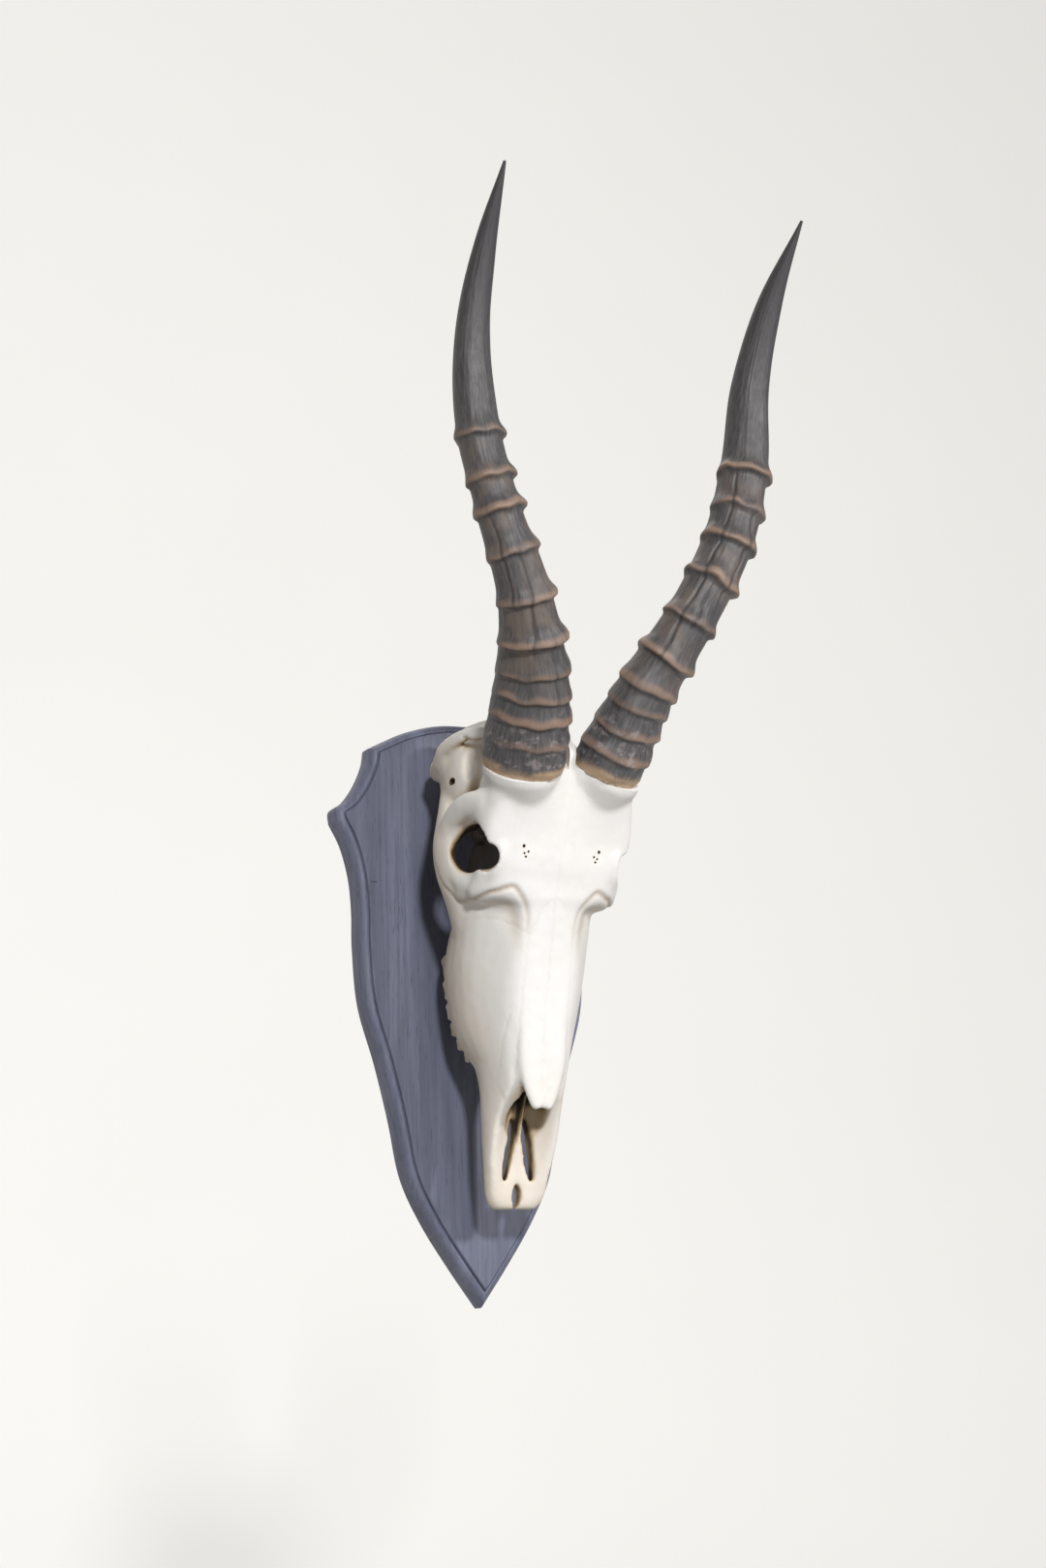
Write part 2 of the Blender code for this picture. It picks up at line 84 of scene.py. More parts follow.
def make_camera():
    data = bpy.data.cameras.new("Camera")
    data.lens = CAMERA_LENS
    data.sensor_width = 36
    camera = bpy.data.objects.new("Camera", data)
    turn = Matrix((CAMERA_RIGHT, CAMERA_UP, CAMERA_BACK)).transposed()
    camera.matrix_world = Matrix.Translation(CAMERA_PLACE) @ turn.to_4x4()
    bpy.context.scene.collection.objects.link(camera)
    bpy.context.scene.camera = camera


make_camera()
print("camera lens:", CAMERA_LENS, "mm")

# %% [markdown]
# ## Light and backdrop
# White bone on a pale ground shows its form only where the light changes across it. Two lamps stand
# in front and a little above, both to the right of the viewer, so every hollow has a dark side. A
# third stands behind and above, for the back, and a weak warm sky fills the rest. One broad lamp
# beside the viewer would be simpler, but it makes the face flat.

# %% Lamps and world
LAMPS = [("Lamp_right", 32, 15, 3.2, 0.3, 50), ("Lamp_left", -16, 15, 3.2, 0.3, 72),
         ("Lamp_back", 180, 62, 2.2, 1.2, 8)]
AIM = Vector((0, -0.1, 0.12))
WORLD_COLOUR, WORLD_FILL, WORLD_SEEN = (1.0, 0.95, 0.88), 0.27, 0.85


def make_lamp(name, azimuth, elevation, distance, size, power):
    data = bpy.data.lights.new(name, "AREA")
    data.shape, data.size, data.energy = "DISK", size, power
    lamp = bpy.data.objects.new(name, data)
    side, lift = math.radians(azimuth), math.radians(elevation)
    away = Vector((math.sin(side) * math.cos(lift), -math.cos(side) * math.cos(lift), math.sin(lift)))
    lamp.location = AIM + away * distance
    lamp.rotation_euler = away.to_track_quat("Z", "Y").to_euler()
    bpy.context.scene.collection.objects.link(lamp)


for lamp in LAMPS:
    make_lamp(*lamp)
world = bpy.data.worlds.new("World")
world.use_nodes = True
sky = world.node_tree.nodes["Background"]
sky.inputs["Color"].default_value = (*WORLD_COLOUR, 1)
seen = world.node_tree.nodes.new("ShaderNodeLightPath")
strength = world.node_tree.nodes.new("ShaderNodeMapRange")
strength.inputs["To Min"].default_value = WORLD_FILL
strength.inputs["To Max"].default_value = WORLD_SEEN
world.node_tree.links.new(seen.outputs["Is Camera Ray"], strength.inputs["Value"])
world.node_tree.links.new(strength.outputs["Result"], sky.inputs["Strength"])
bpy.context.scene.world = world
bpy.context.scene.view_settings.view_transform = "Standard"
print("lamps:", [lamp[0] for lamp in LAMPS])

# %% [markdown]
# ## One way to write a material
# A node tree is easier to read as sums and products than as a list of links. The class Wire wraps
# one socket, and each operator on it adds the Math node that does the sum. Every other node comes
# from Paint.node, which takes the node's type, its settings and what goes into its sockets.

# %% Wires and paint
class Wire:
    """One output socket, with sums and products that add their own Math nodes."""

    def __init__(self, paint, socket):
        self.paint, self.socket = paint, socket

    def _maths(self, operation, *values):
        sockets = dict(enumerate(values))
        return self.paint.node("ShaderNodeMath", {"operation": operation}, sockets)

    def __add__(self, other):
        return self._maths("ADD", self, other)

    def __radd__(self, other):
        return self._maths("ADD", other, self)

    def __sub__(self, other):
        return self._maths("SUBTRACT", self, other)

    def __rsub__(self, other):
        return self._maths("SUBTRACT", other, self)

    def __mul__(self, other):
        return self._maths("MULTIPLY", self, other)

    def __rmul__(self, other):
        return self._maths("MULTIPLY", other, self)

    def step(self, low, high):
        """0 below low, 1 above high, and smooth between them."""
        sockets = {"Value": self, "From Min": low, "From Max": high}
        return self.paint.node("ShaderNodeMapRange", {"interpolation_type": "SMOOTHSTEP"}, sockets)


class Paint:
    """One material, and the one way in which nodes are added to it."""

    def __init__(self, name, **shader_values):
        self.material = bpy.data.materials.new(name)
        self.material.use_nodes = True
        self.tree = self.material.node_tree
        self.shader = self.tree.nodes["Principled BSDF"]
        for key, value in shader_values.items():
            self.shader.inputs[key.replace("_", " ")].default_value = value

    def plug(self, socket, value):
        if isinstance(value, Wire):
            self.tree.links.new(value.socket, socket)
        elif hasattr(value, "__len__") and len(value) == 3 and socket.type == "RGBA":
            socket.default_value = (*value, 1)
        else:
            socket.default_value = value

    def node(self, kind, settings=None, sockets=None, output=0):
        made = self.tree.nodes.new(kind)
        for key, value in (settings or {}).items():
            setattr(made, key, value)
        for key, value in (sockets or {}).items():
            self.plug(made.inputs[key], value)
        return Wire(self, made.outputs[output])

    def place(self, stretch=(1, 1, 1)):
        """Object coordinates, squeezed along each axis by this much."""
        where = self.node("ShaderNodeTexCoord", output="Object")
        return self.node("ShaderNodeMapping", {}, {"Vector": where, "Scale": stretch})

    def field(self, name, output="Fac"):
        """A value that the mesh carries at its points."""
        return self.node("ShaderNodeAttribute", {"attribute_name": name}, output=output)

    def cloud(self, where, scale, detail=4.0, roughness=0.55):
        return self.node("ShaderNodeTexNoise", {},
                         {"Vector": where, "Scale": scale, "Detail": detail, "Roughness": roughness})

    def cells(self, where, scale):
        return self.node("ShaderNodeTexVoronoi", {"feature": "F1"}, {"Vector": where, "Scale": scale})

    def blend(self, amount, first, second):
        """The first colour where the amount is 0, and the second where it is 1."""
        sockets = {0: amount, 6: first, 7: second}
        return self.node("ShaderNodeMix", {"data_type": "RGBA"}, sockets, output=2)

    def raise_by(self, height, depth, strength):
        """A Bump node on the shader's normal, with heights of this many metres."""
        bump = self.node("ShaderNodeBump", {}, {"Height": height, "Distance": depth, "Strength": strength})
        self.plug(self.shader.inputs["Normal"], bump)

    def finish(self, colour, roughness):
        self.plug(self.shader.inputs["Base Color"], colour)
        self.plug(self.shader.inputs["Roughness"], roughness)
        return self.material


print("operators of a wire:", [name for name in vars(Wire) if name.endswith(("add__", "sub__", "mul__"))])

# %% [markdown]
# ## Backdrop
# The floor is one sheet that sweeps up into a backdrop far behind, so no horizon crosses the
# picture. It could be a plane with a bent edge, but a list of its own profile is shorter. It glows a
# little, so it looks even, and it gives the part no light of its own, so the hollows stay deep.

# %% Floor and backdrop
FLOOR_UP, BACKDROP_AWAY, BACKDROP_UP, BACKDROP_HALF_WIDTH, SWEEP = -0.75, 2.7, 6.0, 6.0, 1.1


def backdrop_paint():
    paint = Paint("Paper_backdrop", Emission_Color=(0.95, 0.95, 0.93, 1), Emission_Strength=0.44)
    fibre = paint.cloud(paint.place(), 3.0)
    return paint.finish(paint.blend(fibre, (0.80, 0.80, 0.78), (0.84, 0.84, 0.82)), 0.85 + 0.1 * fibre)


def make_backdrop():
    bpy.ops.mesh.primitive_plane_add(size=1, location=(0, 0, 0))
    sheet = bpy.context.object
    sheet.name = "Backdrop"
    line = [(-BACKDROP_HALF_WIDTH, FLOOR_UP)]
    for degrees in range(0, 91, 5):
        bend = math.radians(degrees)
        line.append((BACKDROP_AWAY - SWEEP + SWEEP * math.sin(bend), FLOOR_UP + SWEEP * (1 - math.cos(bend))))
    line.append((BACKDROP_AWAY, BACKDROP_UP))
    points = [(x, y, z) for y, z in line for x in (-BACKDROP_HALF_WIDTH, BACKDROP_HALF_WIDTH)]
    faces = [(2 * k, 2 * k + 1, 2 * k + 3, 2 * k + 2) for k in range(len(line) - 1)]
    sheet.data.clear_geometry()
    sheet.data.from_pydata(points, [], faces)
    sheet.data.materials.append(backdrop_paint())
    sheet.visible_diffuse = False
    bpy.ops.object.shade_smooth()
    sheet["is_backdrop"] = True
    return sheet


backdrop = make_backdrop()
print("backdrop faces:", len(backdrop.data.polygons))

# %% [markdown]
# ## Tools for shaping
# Nearly everything here is a skin over cross-sections. By hand that is one circle whose points are
# put on the first section, then extruded and put on the next one, again and again. The points carry
# their order as an attribute, which the extrusion copies, so each new ring knows where it belongs.

# %% Points, lines and skins
def at(side, out, up):
    """A point of the part from its side, its distance out and its height, in metres."""
    return Vector((side * MM, -out * MM, up * MM))


def smooth_run(points, steps):
    """A smooth line through the points, with this many steps between each two."""
    points = np.array(points, float)
    before = np.vstack([2 * points[0] - points[1], points, 2 * points[-1] - points[-2]])
    line = []
    for a, b, c, d in zip(before[:-3], before[1:-2], before[2:-1], before[3:]):
        for t in np.arange(steps) / steps:
            line.append(0.5 * (2 * b + (c - a) * t + (2 * a - 5 * b + 4 * c - d) * t ** 2
                               + (3 * b - a - 3 * c + d) * t ** 3))
    line.append(points[-1])
    return np.array(line)


def deselect():
    if bpy.context.mode != "OBJECT":
        bpy.ops.object.mode_set(mode="OBJECT")
    bpy.ops.object.select_all(action="DESELECT")


def only(piece):
    deselect()
    piece.select_set(True)
    bpy.context.view_layer.objects.active = piece


def skin(name, rings):
    """A closed skin over rings of points, made by extruding one circle from ring to ring."""
    rings = [list(ring) for ring in rings]
    deselect()
    bpy.ops.mesh.primitive_circle_add(vertices=len(rings[0]), radius=1, fill_type="NGON")
    piece = bpy.context.object
    piece.name = name
    bpy.ops.object.mode_set(mode="EDIT")
    shape = bmesh.from_edit_mesh(piece.data)
    order = shape.verts.layers.int.new("order")
    for k, vert in enumerate(shape.verts):
        vert[order] = k
        vert.co = rings[0][k]
    for ring in rings[1:]:
        bmesh.update_edit_mesh(piece.data)
        bpy.ops.mesh.extrude_region_move()
        shape = bmesh.from_edit_mesh(piece.data)
        order = shape.verts.layers.int["order"]
        for vert in shape.verts:
            if vert.select:
                vert.co = ring[vert[order]]
    bmesh.update_edit_mesh(piece.data)
    bpy.ops.mesh.select_all(action="SELECT")
    bpy.ops.mesh.normals_make_consistent(inside=False)
    bpy.ops.object.mode_set(mode="OBJECT")
    return piece


def ball(name, centre, half):
    """An egg with its axes along side, out and up."""
    deselect()
    bpy.ops.mesh.primitive_uv_sphere_add(segments=24, ring_count=14, radius=1, location=at(*centre),
                                         scale=[size * MM for size in half])
    piece = bpy.context.object
    piece.name = name
    bpy.ops.object.transform_apply()
    return piece


def joined(name, pieces):
    """All pieces in one mesh, still as loose shells."""
    deselect()
    for piece in pieces:
        piece.select_set(True)
    bpy.context.view_layer.objects.active = pieces[0]
    bpy.ops.object.join()
    pieces[0].name = name
    return pieces[0]


def modified(piece, kind, **settings):
    """Adds a modifier with these settings and applies it at once."""
    only(piece)
    made = piece.modifiers.new(kind.lower(), kind)
    for key, value in settings.items():
        setattr(made, key, value)
    bpy.ops.object.modifier_apply(modifier=made.name)
    return piece


def cut(piece, cutter):
    """Takes the cutter's volume away, and the cutter with it."""
    modified(piece, "BOOLEAN", operation="DIFFERENCE", solver="EXACT", object=cutter)
    bpy.data.objects.remove(cutter)


def count(piece):
    """How many triangles a mesh has."""
    return sum(len(face.vertices) - 2 for face in piece.data.polygons)


print("a smooth line of 3 points in 4 steps has", len(smooth_run([(0, 0), (1, 1), (2, 0)], 4)), "points")

# %% [markdown]
# ## The main masses of the skull
# A skull is hollow boxes of thin bone grown into each other. It could be sculpted freehand, but a
# skin over measured sections keeps the true profile of the face, and eggs and rods give the eye
# sockets, cheek arches and brain end. All of them overlap, and a voxel remesh grows them together
# as bone does, with soft fillets where they meet.

# %% Sections of the face and the roof
FACE_SECTIONS = [
    (-134, [(0, 62.5), (6, 62.5), (12, 62), (15, 59), (12, 55), (6, 54), (0, 54)]),
    (-128, [(0, 64), (9, 65), (16, 65.5), (19.5, 61), (17, 56), (9, 55), (0, 55)]),
    (-115, [(0, 65.5), (10, 67), (18.5, 70), (21.5, 65), (20, 59), (11, 57), (0, 57)]),
    (-98, [(0, 67.5), (11, 70), (21, 76.5), (24, 71), (22.5, 62), (13, 59), (0, 59)]),
    (-80, [(0, 75), (12, 79), (21, 84), (25, 74.5), (23, 63), (15, 60), (0, 60)]),
    (-62, [(0, 95), (13, 97), (20, 95), (25.5, 79), (24, 64), (15, 59), (0, 60)]),
    (-47, [(0, 104), (14, 103.5), (23, 96), (28, 78), (25, 60), (14, 54), (0, 58)]),
    (-39, [(0, 106.5), (14, 105), (24, 97), (31, 77), (28, 53), (15, 44), (0, 58)]),
    (-25, [(0, 109), (15, 108), (26, 98), (36, 76), (34, 50), (18, 41), (0, 60)]),
    (-5, [(0, 113), (17, 112), (29, 101), (40.5, 78), (37, 48), (22, 36), (0, 62)]),
    (15, [(0, 118), (18, 117), (30, 105), (42.5, 82), (38.5, 47), (22, 29), (0, 60)]),
    (35, [(0, 124), (17, 122.5), (29, 112), (43, 89), (38, 54), (22, 30), (0, 58)]),
    (50, [(0, 129), (19, 127), (29, 116), (44, 92), (36, 60), (20, 38), (0, 58)]),
]
ROOF_SECTIONS = [
    (44, [(0, 127), (16, 125.5), (22, 121), (24, 112), (20, 104), (12, 98), (0, 97)]),
    (50, [(0, 129.5), (22, 128.5), (38, 122), (48, 110), (40, 100), (20, 97), (0, 96)]),
    (58, [(0, 132), (27, 131), (44, 125), (51, 113), (44, 103), (20, 99), (0, 97)]),
    (70, [(0, 137), (28, 136), (44, 131.5), (49, 123), (38, 112), (18, 103), (0, 99)]),
    (85, [(0, 142), (28, 141), (47, 138), (51.5, 130), (42, 118), (18, 104), (0, 99)]),
    (100, [(0, 147), (28, 149), (47, 144), (53, 129), (48, 115), (22, 104), (0, 98)]),
    (112, [(0, 151), (30, 157), (46, 149), (50, 130), (42, 110), (20, 99), (0, 95)]),
    (125, [(0, 156), (31, 164), (45, 153), (45, 126), (37, 104), (20, 95), (0, 90)]),
    (138, [(0, 159), (28, 163), (41, 151), (38, 126), (33, 104), (18, 95), (0, 90)]),
    (148, [(0, 150), (20, 149), (30, 138), (32, 120), (28, 100), (16, 92), (0, 90)]),
]


def section_rings(sections):
    """Whole rings from half sections, with stations added between those listed."""
    flat = [[up, *np.ravel(half)] for up, half in sections]
    for row in smooth_run(flat, 3):
        up, half = row[0], smooth_run(row[1:].reshape(-1, 2), 3)
        whole = [(x, out) for x, out in half] + [(-x, out) for x, out in half[-2:0:-1]]
        yield [at(x, out, up) for x, out in whole]


face_and_roof = [skin("face", section_rings(FACE_SECTIONS)), skin("roof", section_rings(ROOF_SECTIONS))]
print("face and roof:", [count(piece) for piece in face_and_roof], "triangles")

# %% Eggs, rods and eye rims
MID_MASSES = [
    ((0, 92, 130), (38, 50, 40)),
    ((0, 70, 146), (48, 38, 34)),
    ((0, 44, 126), (16, 13, 40)),
    ((0, 80, 78), (15, 48, 46)),
]
SIDE_MASSES = [
    ((14, 50, 170), (10, 15, 11)),
    ((21, 38, 128), (10, 9, 13)),
    ((14, 50, 72), (4, 18, 30)),
    ((36, 52, 150), (8, 20, 10)),
    ((44, 96, 62), (8, 15, 12)),
    ((40, 113, 81), (11, 25, 26)),
    ((37, 80, 134), (11, 24, 26)),
]
CHEEK_ARCH = [(35, 74, 28, 6, 12), (42, 79, 50, 6, 13), (51, 82, 72, 5, 14), (52.5, 80, 94, 5, 13),
              (47, 71, 114, 4, 9), (40, 63, 130, 5, 8), (33, 55, 146, 6, 8)]
EYE_BAR = [(46, 132, 104, 8, 10), (51, 114, 108, 6, 9), (52.5, 94, 104, 5, 9), (52.5, 80, 92, 5, 8)]
EAR_SPUR = [(31, 46, 150, 7, 8), (27, 34, 143, 5, 7), (23, 24, 136, 3.5, 5)]
NASAL_BONE = [(8, 112, 6, 9, 4), (8, 107, -20, 9, 3.5), (8, 104, -45, 8.5, 3.2), (6.5, 102, -62, 7, 3),
              (3.5, 101, -77, 3.5, 2.6)]
TEMPLE_RIDGE = [(36, 120, 156, 3, 5), (45, 98, 158, 3, 5), (49, 76, 155, 3, 5), (46, 58, 148, 3, 5)]
SEPTUM = [(0, 62, -116, 2.4, 4), (0, 65, -98, 2.0, 4), (0, 68, -84, 1.5, 5), (0, 73, -72, 1.4, 5),
          (0, 80, -58, 1.4, 6)]
EYE_CENTRE, EYE_RADIUS = (45.5, 110.5, 82), 22.5
EYE_RIM_WIDTH, EYE_RIM_THICKNESS = 6.5, 4.5
EYE_TURN = -14
ROD_SIDES = 14


def both_sides(side_list):
    """Each centre and its half sizes, on the left and on the right."""
    for centre, half in side_list:
        for hand in (LEFT, RIGHT):
            yield (hand * centre[0], centre[1], centre[2]), half


def rod_rings(stations, hand):
    """Rings of an oval rod through (side, out, up, half thickness, half height) stations."""
    rows = smooth_run(stations, 4).tolist()
    for i, row in enumerate(rows):
        before, after = rows[max(i - 1, 0)], rows[min(i + 1, len(rows) - 1)]
        along = at(hand * (after[0] - before[0]), after[1] - before[1], after[2] - before[2]).normalized()
        thick = (Vector((1, 0, 0)) - along * along.x).normalized()
        wide = along.cross(thick)
        centre = at(hand * row[0], row[1], row[2])
        turns = [2 * math.pi * k / ROD_SIDES for k in range(ROD_SIDES)]
        yield [centre + MM * (row[3] * math.cos(a) * thick + row[4] * math.sin(a) * wide) for a in turns]


def eye_rim(hand):
    """A ring round the eye socket, opening sideways and a little forward."""
    deselect()
    bpy.ops.mesh.primitive_torus_add(major_radius=EYE_RADIUS * MM, minor_radius=EYE_RIM_WIDTH * MM,
                                     major_segments=48, minor_segments=16)
    ring = bpy.context.object
    flatter = Matrix.Diagonal((1, 1, EYE_RIM_THICKNESS / EYE_RIM_WIDTH, 1))
    turn = Matrix.Rotation(hand * math.radians(EYE_TURN), 3, "Z") @ Matrix.Rotation(math.radians(90), 3, "Y")
    place = Matrix.Translation(at(hand * EYE_CENTRE[0], EYE_CENTRE[1], EYE_CENTRE[2]))
    ring.data.transform(place @ turn.to_4x4() @ flatter)
    return ring


masses = [ball("mass", centre, half) for centre, half in [*MID_MASSES, *both_sides(SIDE_MASSES)]]
rods = [skin("rod", rod_rings(rod, hand)) for rod in (CHEEK_ARCH, EYE_BAR, EAR_SPUR, NASAL_BONE, TEMPLE_RIDGE)
        for hand in (LEFT, RIGHT)]
rims = [eye_rim(hand) for hand in (LEFT, RIGHT)]
print("masses:", len(masses), "rods:", len(rods), "rims:", len(rims))

# %% [markdown]
# ## Where the horns stand
# The line of each horn serves three pieces: the horn itself, the bony stub that carries it, and the
# flat cut on which the horn's base sits. So it comes first, as stations of side, out, up, radius
# and skew, where skew leans the round section over into an oval.

# %% Horn lines and stubs
LEFT_HORN = [(30, 146.5, 127.8, 24.9, 0.10), (40.5, 183, 172, 20.4, 0.13), (57.5, 209, 214, 16.4, 0.02),
             (79, 220.5, 261, 14.8, -0.10), (92.5, 223, 311, 14.2, -0.08), (98, 230.5, 364, 11.4, -0.08),
             (99.5, 252, 410, 7.5, -0.08), (102.5, 287.5, 449, 0.9, 0.0)]
RIGHT_HORN = [(28, 147, 129, 24.9, 0.10), (39.5, 183, 174, 20.4, 0.13), (59, 209, 216, 16.4, 0.02),
              (80, 221.5, 263, 14.8, -0.10), (93.5, 224.5, 314, 14.2, -0.08), (97, 231.5, 367, 11.4, -0.08),
              (100, 254.5, 414, 7.5, -0.08), (102.5, 291, 454, 0.9, 0.0)]
STUB_LEVELS = ((34, 12), (16, 20.5), (4, 24.4), (-6, 23.5))
STUB_SIDES = 40
GAP = 0.3


def station_at(line, t):
    """The values of a line at a fraction of its steps."""
    steps = np.linspace(0, 1, len(line))
    return [float(np.interp(t, steps, line[:, k])) for k in range(line.shape[1])]


def horn_frame(line, hand, t):
    """Centre of a horn at a fraction of its length, and its directions along, across and to the front."""
    row, before, after = (station_at(line, here) for here in (t, max(t - 0.01, 0), min(t + 0.01, 1)))
    along = at(hand * (after[0] - before[0]), after[1] - before[1], after[2] - before[2]).normalized()
    across = (Vector((hand, 0, 0)) - along * along.x * hand).normalized()
    return at(hand * row[0], row[1], row[2]), along, across, along.cross(across) * hand


def stub_rings(stations, hand):
    """The bony stub under a horn, as rings of one radius at each depth below the horn's base."""
    base, along, across, front = horn_frame(smooth_run(stations, 40), hand, 0)
    for back, radius in STUB_LEVELS:
        centre = base - along * back * MM
        turns = [2 * math.pi * k / STUB_SIDES for k in range(STUB_SIDES)]
        yield [centre + MM * radius * (math.cos(a) * across + math.sin(a) * front) for a in turns]


HORNS = ((LEFT, LEFT_HORN, "left"), (RIGHT, RIGHT_HORN, "right"))
stubs = [skin("stub", stub_rings(stations, hand)) for hand, stations, _ in HORNS]
print("stubs:", len(stubs))

# %% [markdown]
# ## Growing the skull together
# The eye sockets, the inside of the nose, the roof of the mouth and the slits of the upper jaw are
# hollows. They are eggs too, joined in one mesh and taken away with a Boolean. The thin wall of bone
# that parts the nose is a rod that is added after them, and a second remesh grows it in and rounds
# the edges that the cut leaves. The second remesh is the finer one and sets how many triangles the
# bone has.

# %% One bone with its hollows
MID_HOLLOWS = [
    ((0, 82, -48), (15, 13, 40)),
    ((0, 84, -85), (14.5, 17, 22)),
    ((0, 30, -8), (16.5, 28, 66)),
    ((0, 60, 176), (10, 9, 20)),
    ((0, 56, -126), (3.1, 30, 7.5)),
    ((0, 56, -134), (0.8, 30, 8)),
]
SIDE_HOLLOWS = [
    ((34, 108, 82), (22, 24, 18)),
    ((51, 113, 82), (11, 21.5, 16)),
    ((45.5, 126, 73.5), (7, 11.5, 9)),
    ((36, 80, 84), (14, 26, 16)),
    ((46.5, 101, 141), (7.5, 7, 16)),
]
SLIT_CENTRE, SLIT_HALF, SLIT_LEAN = (6.6, 58, -98), (3.3, 26, 21.5), -9.0
ROUGH_VOXEL, HOLLOW_VOXEL, FINE_VOXEL = 1.5, 0.9, 1.32


def slit(hand):
    """A slit of the upper jaw, leaning so that the two stand closer together above."""
    made = ball("slit", (0, 0, 0), SLIT_HALF)
    lean = Matrix.Rotation(hand * math.radians(SLIT_LEAN), 4, "Y")
    made.data.transform(Matrix.Translation(at(hand * SLIT_CENTRE[0], *SLIT_CENTRE[1:])) @ lean)
    return made


skull = joined("Skull_bone", face_and_roof + masses + rods + rims + stubs)
modified(skull, "REMESH", mode="VOXEL", voxel_size=ROUGH_VOXEL * MM)
modified(skull, "SMOOTH", factor=0.5, iterations=8)
hollows = joined("hollows", [ball("hollow", centre, half) for centre, half
                             in [*MID_HOLLOWS, *both_sides(SIDE_HOLLOWS)]]
                 + [slit(hand) for hand in (LEFT, RIGHT)])
modified(hollows, "REMESH", mode="VOXEL", voxel_size=HOLLOW_VOXEL * MM)
cut(skull, hollows)
skull = joined("Skull_bone", [skull, skin("septum", rod_rings(SEPTUM, RIGHT))])
modified(skull, "REMESH", mode="VOXEL", voxel_size=FINE_VOXEL * MM)
modified(skull, "SMOOTH", factor=0.5, iterations=4)
print("skull grown together:", count(skull), "triangles")

# %% [markdown]
# ## Relief of the bone
# The bones of the face meet in fine wandering seams. Under each eye a ledge runs from the cheek arch
# to the nose, and in front of the eye lies a shallow hollow. Each of these is a line, laid on the
# bone on both sides, and every point sinks by what its distance from the lines asks for. A brush
# would do this by hand, but a line keeps its place when the bone under it is changed.

# %% Points and noise
def read_points(piece):
    """The mesh's points and normals, in metres, as arrays."""
    points = np.empty(len(piece.data.vertices) * 3, np.float32)
    normals = np.empty_like(points)
    piece.data.vertices.foreach_get("co", points)
    piece.data.vertex_normals.foreach_get("vector", normals)
    return points.reshape(-1, 3).astype(float), normals.reshape(-1, 3).astype(float)


def write_points(piece, points):
    piece.data.vertices.foreach_set("co", points.astype(np.float32).ravel())
    piece.data.update()


def carry(piece, name, values):
    """Stores one value a point for the material to read."""
    kind = "FLOAT_VECTOR" if np.ndim(values) == 2 else "FLOAT"
    field = piece.data.attributes.new(name, kind, "POINT")
    field.data.foreach_set("vector" if kind == "FLOAT_VECTOR" else "value",
                           np.asarray(values, np.float32).ravel())


def rise(values, low, high):
    """0 below low, 1 above high, and smooth between them."""
    share = np.clip((np.asarray(values, float) - low) / (high - low), 0, 1)
    return share * share * (3 - 2 * share)


def clouds(points, size, seed=0.0):
    """Soft noise from -1 to 1 at these points, in lumps of this many millimetres."""
    shift = Vector((seed, seed * 1.7, -seed))
    return np.array([noise.noise(Vector(point) / (size * MM) + shift) for point in points])


def to_line(flat, line):
    """Distance of flat points to a broken line, in millimetres."""
    best = np.full(len(flat), 1e9)
    for a, b in zip(line[:-1], line[1:]):
        span = b - a
        share = np.clip(((flat - a) @ span) / max(span @ span, 1e-9), 0, 1)
        best = np.minimum(best, np.linalg.norm(flat - a - share[:, None] * span, axis=1))
    return best


def folded(points):
    """Side, distance out and height in millimetres, with both sides folded into one."""
    return np.abs(points[:, 0]) / MM, -points[:, 1] / MM, points[:, 2] / MM


print("points of the skull:", len(read_points(skull)[0]))

# %% Seams, ledge and hollow
MID_SEAM = [(0, 122), (0.5, 90), (-0.4, 60), (0.4, 20), (-0.3, -30), (0, -76)]
SIDE_SEAMS = [
    [(0, 50), (6, 46), (11, 38), (15, 28), (16, 12), (16.5, -10), (17, -34), (17.5, -56)],
    [(15, 28), (22, 32), (30, 38), (40, 41)],
    [(22, -20), (24, -40), (23, -62), (17, -76)],
]
SEAM_WIDTH = 0.6
LEDGE = [(54, 75, 86), (54, 77, 75), (52.5, 80, 66), (50.8, 84.6, 60.1), (47.8, 92, 52),
         (47.1, 104.2, 50.9), (45.7, 114.3, 50.2), (42.9, 121.4, 51.4), (38.1, 125.1, 52.8),
         (34, 127.6, 54.4), (28.9, 129.3, 55), (23, 127.8, 49.7), (19, 125, 43.8), (17.1, 123.4, 37.6),
         (16.7, 120.8, 29), (17.1, 118.3, 19.8)]
LEDGE_STRENGTH = [0.15, 0.35, 0.45, 0.55, 0.8, 0.9, 0.9, 1.0, 1.0, 0.9, 0.9, 0.8, 0.6, 0.45, 0.25, 0.0]
FOSSA = [(42, 115, 46), (37, 117, 46), (31, 119, 46), (26, 118, 42), (22.5, 116, 34), (21, 114, 25),
         (21, 111, 14)]
FOSSA_STRENGTH = [0.1, 0.45, 0.85, 1.0, 0.85, 0.45, 0.0]
LEDGE_WIDTH, FOSSA_WIDTH = 1.7, 5.5
SEAM_SINK, LEDGE_SINK, FOSSA_SINK = 0.28, 1.3, 1.2


def seam_depth(points, normals):
    """How deep each point lies in a seam between two bones, from 0 to 1."""
    across, up = clouds(points, 4.0) * 0.9, clouds(points, 4.0, 9.0) * 0.9 + points[:, 2] / MM
    middle = np.column_stack([points[:, 0] / MM + across, up])
    sides = np.column_stack([folded(points)[0] + across, up])
    deep = np.exp(-(to_line(middle, smooth_run(MID_SEAM, 6)) / SEAM_WIDTH) ** 2)
    deep = deep * (1 - 0.6 * rise(up, 40, 60))
    for seam in SIDE_SEAMS:
        deep = np.maximum(deep, 0.8 * np.exp(-(to_line(sides, smooth_run(seam, 6)) / SEAM_WIDTH) ** 2))
    return deep * rise(-normals[:, 1], 0.15, 0.5)


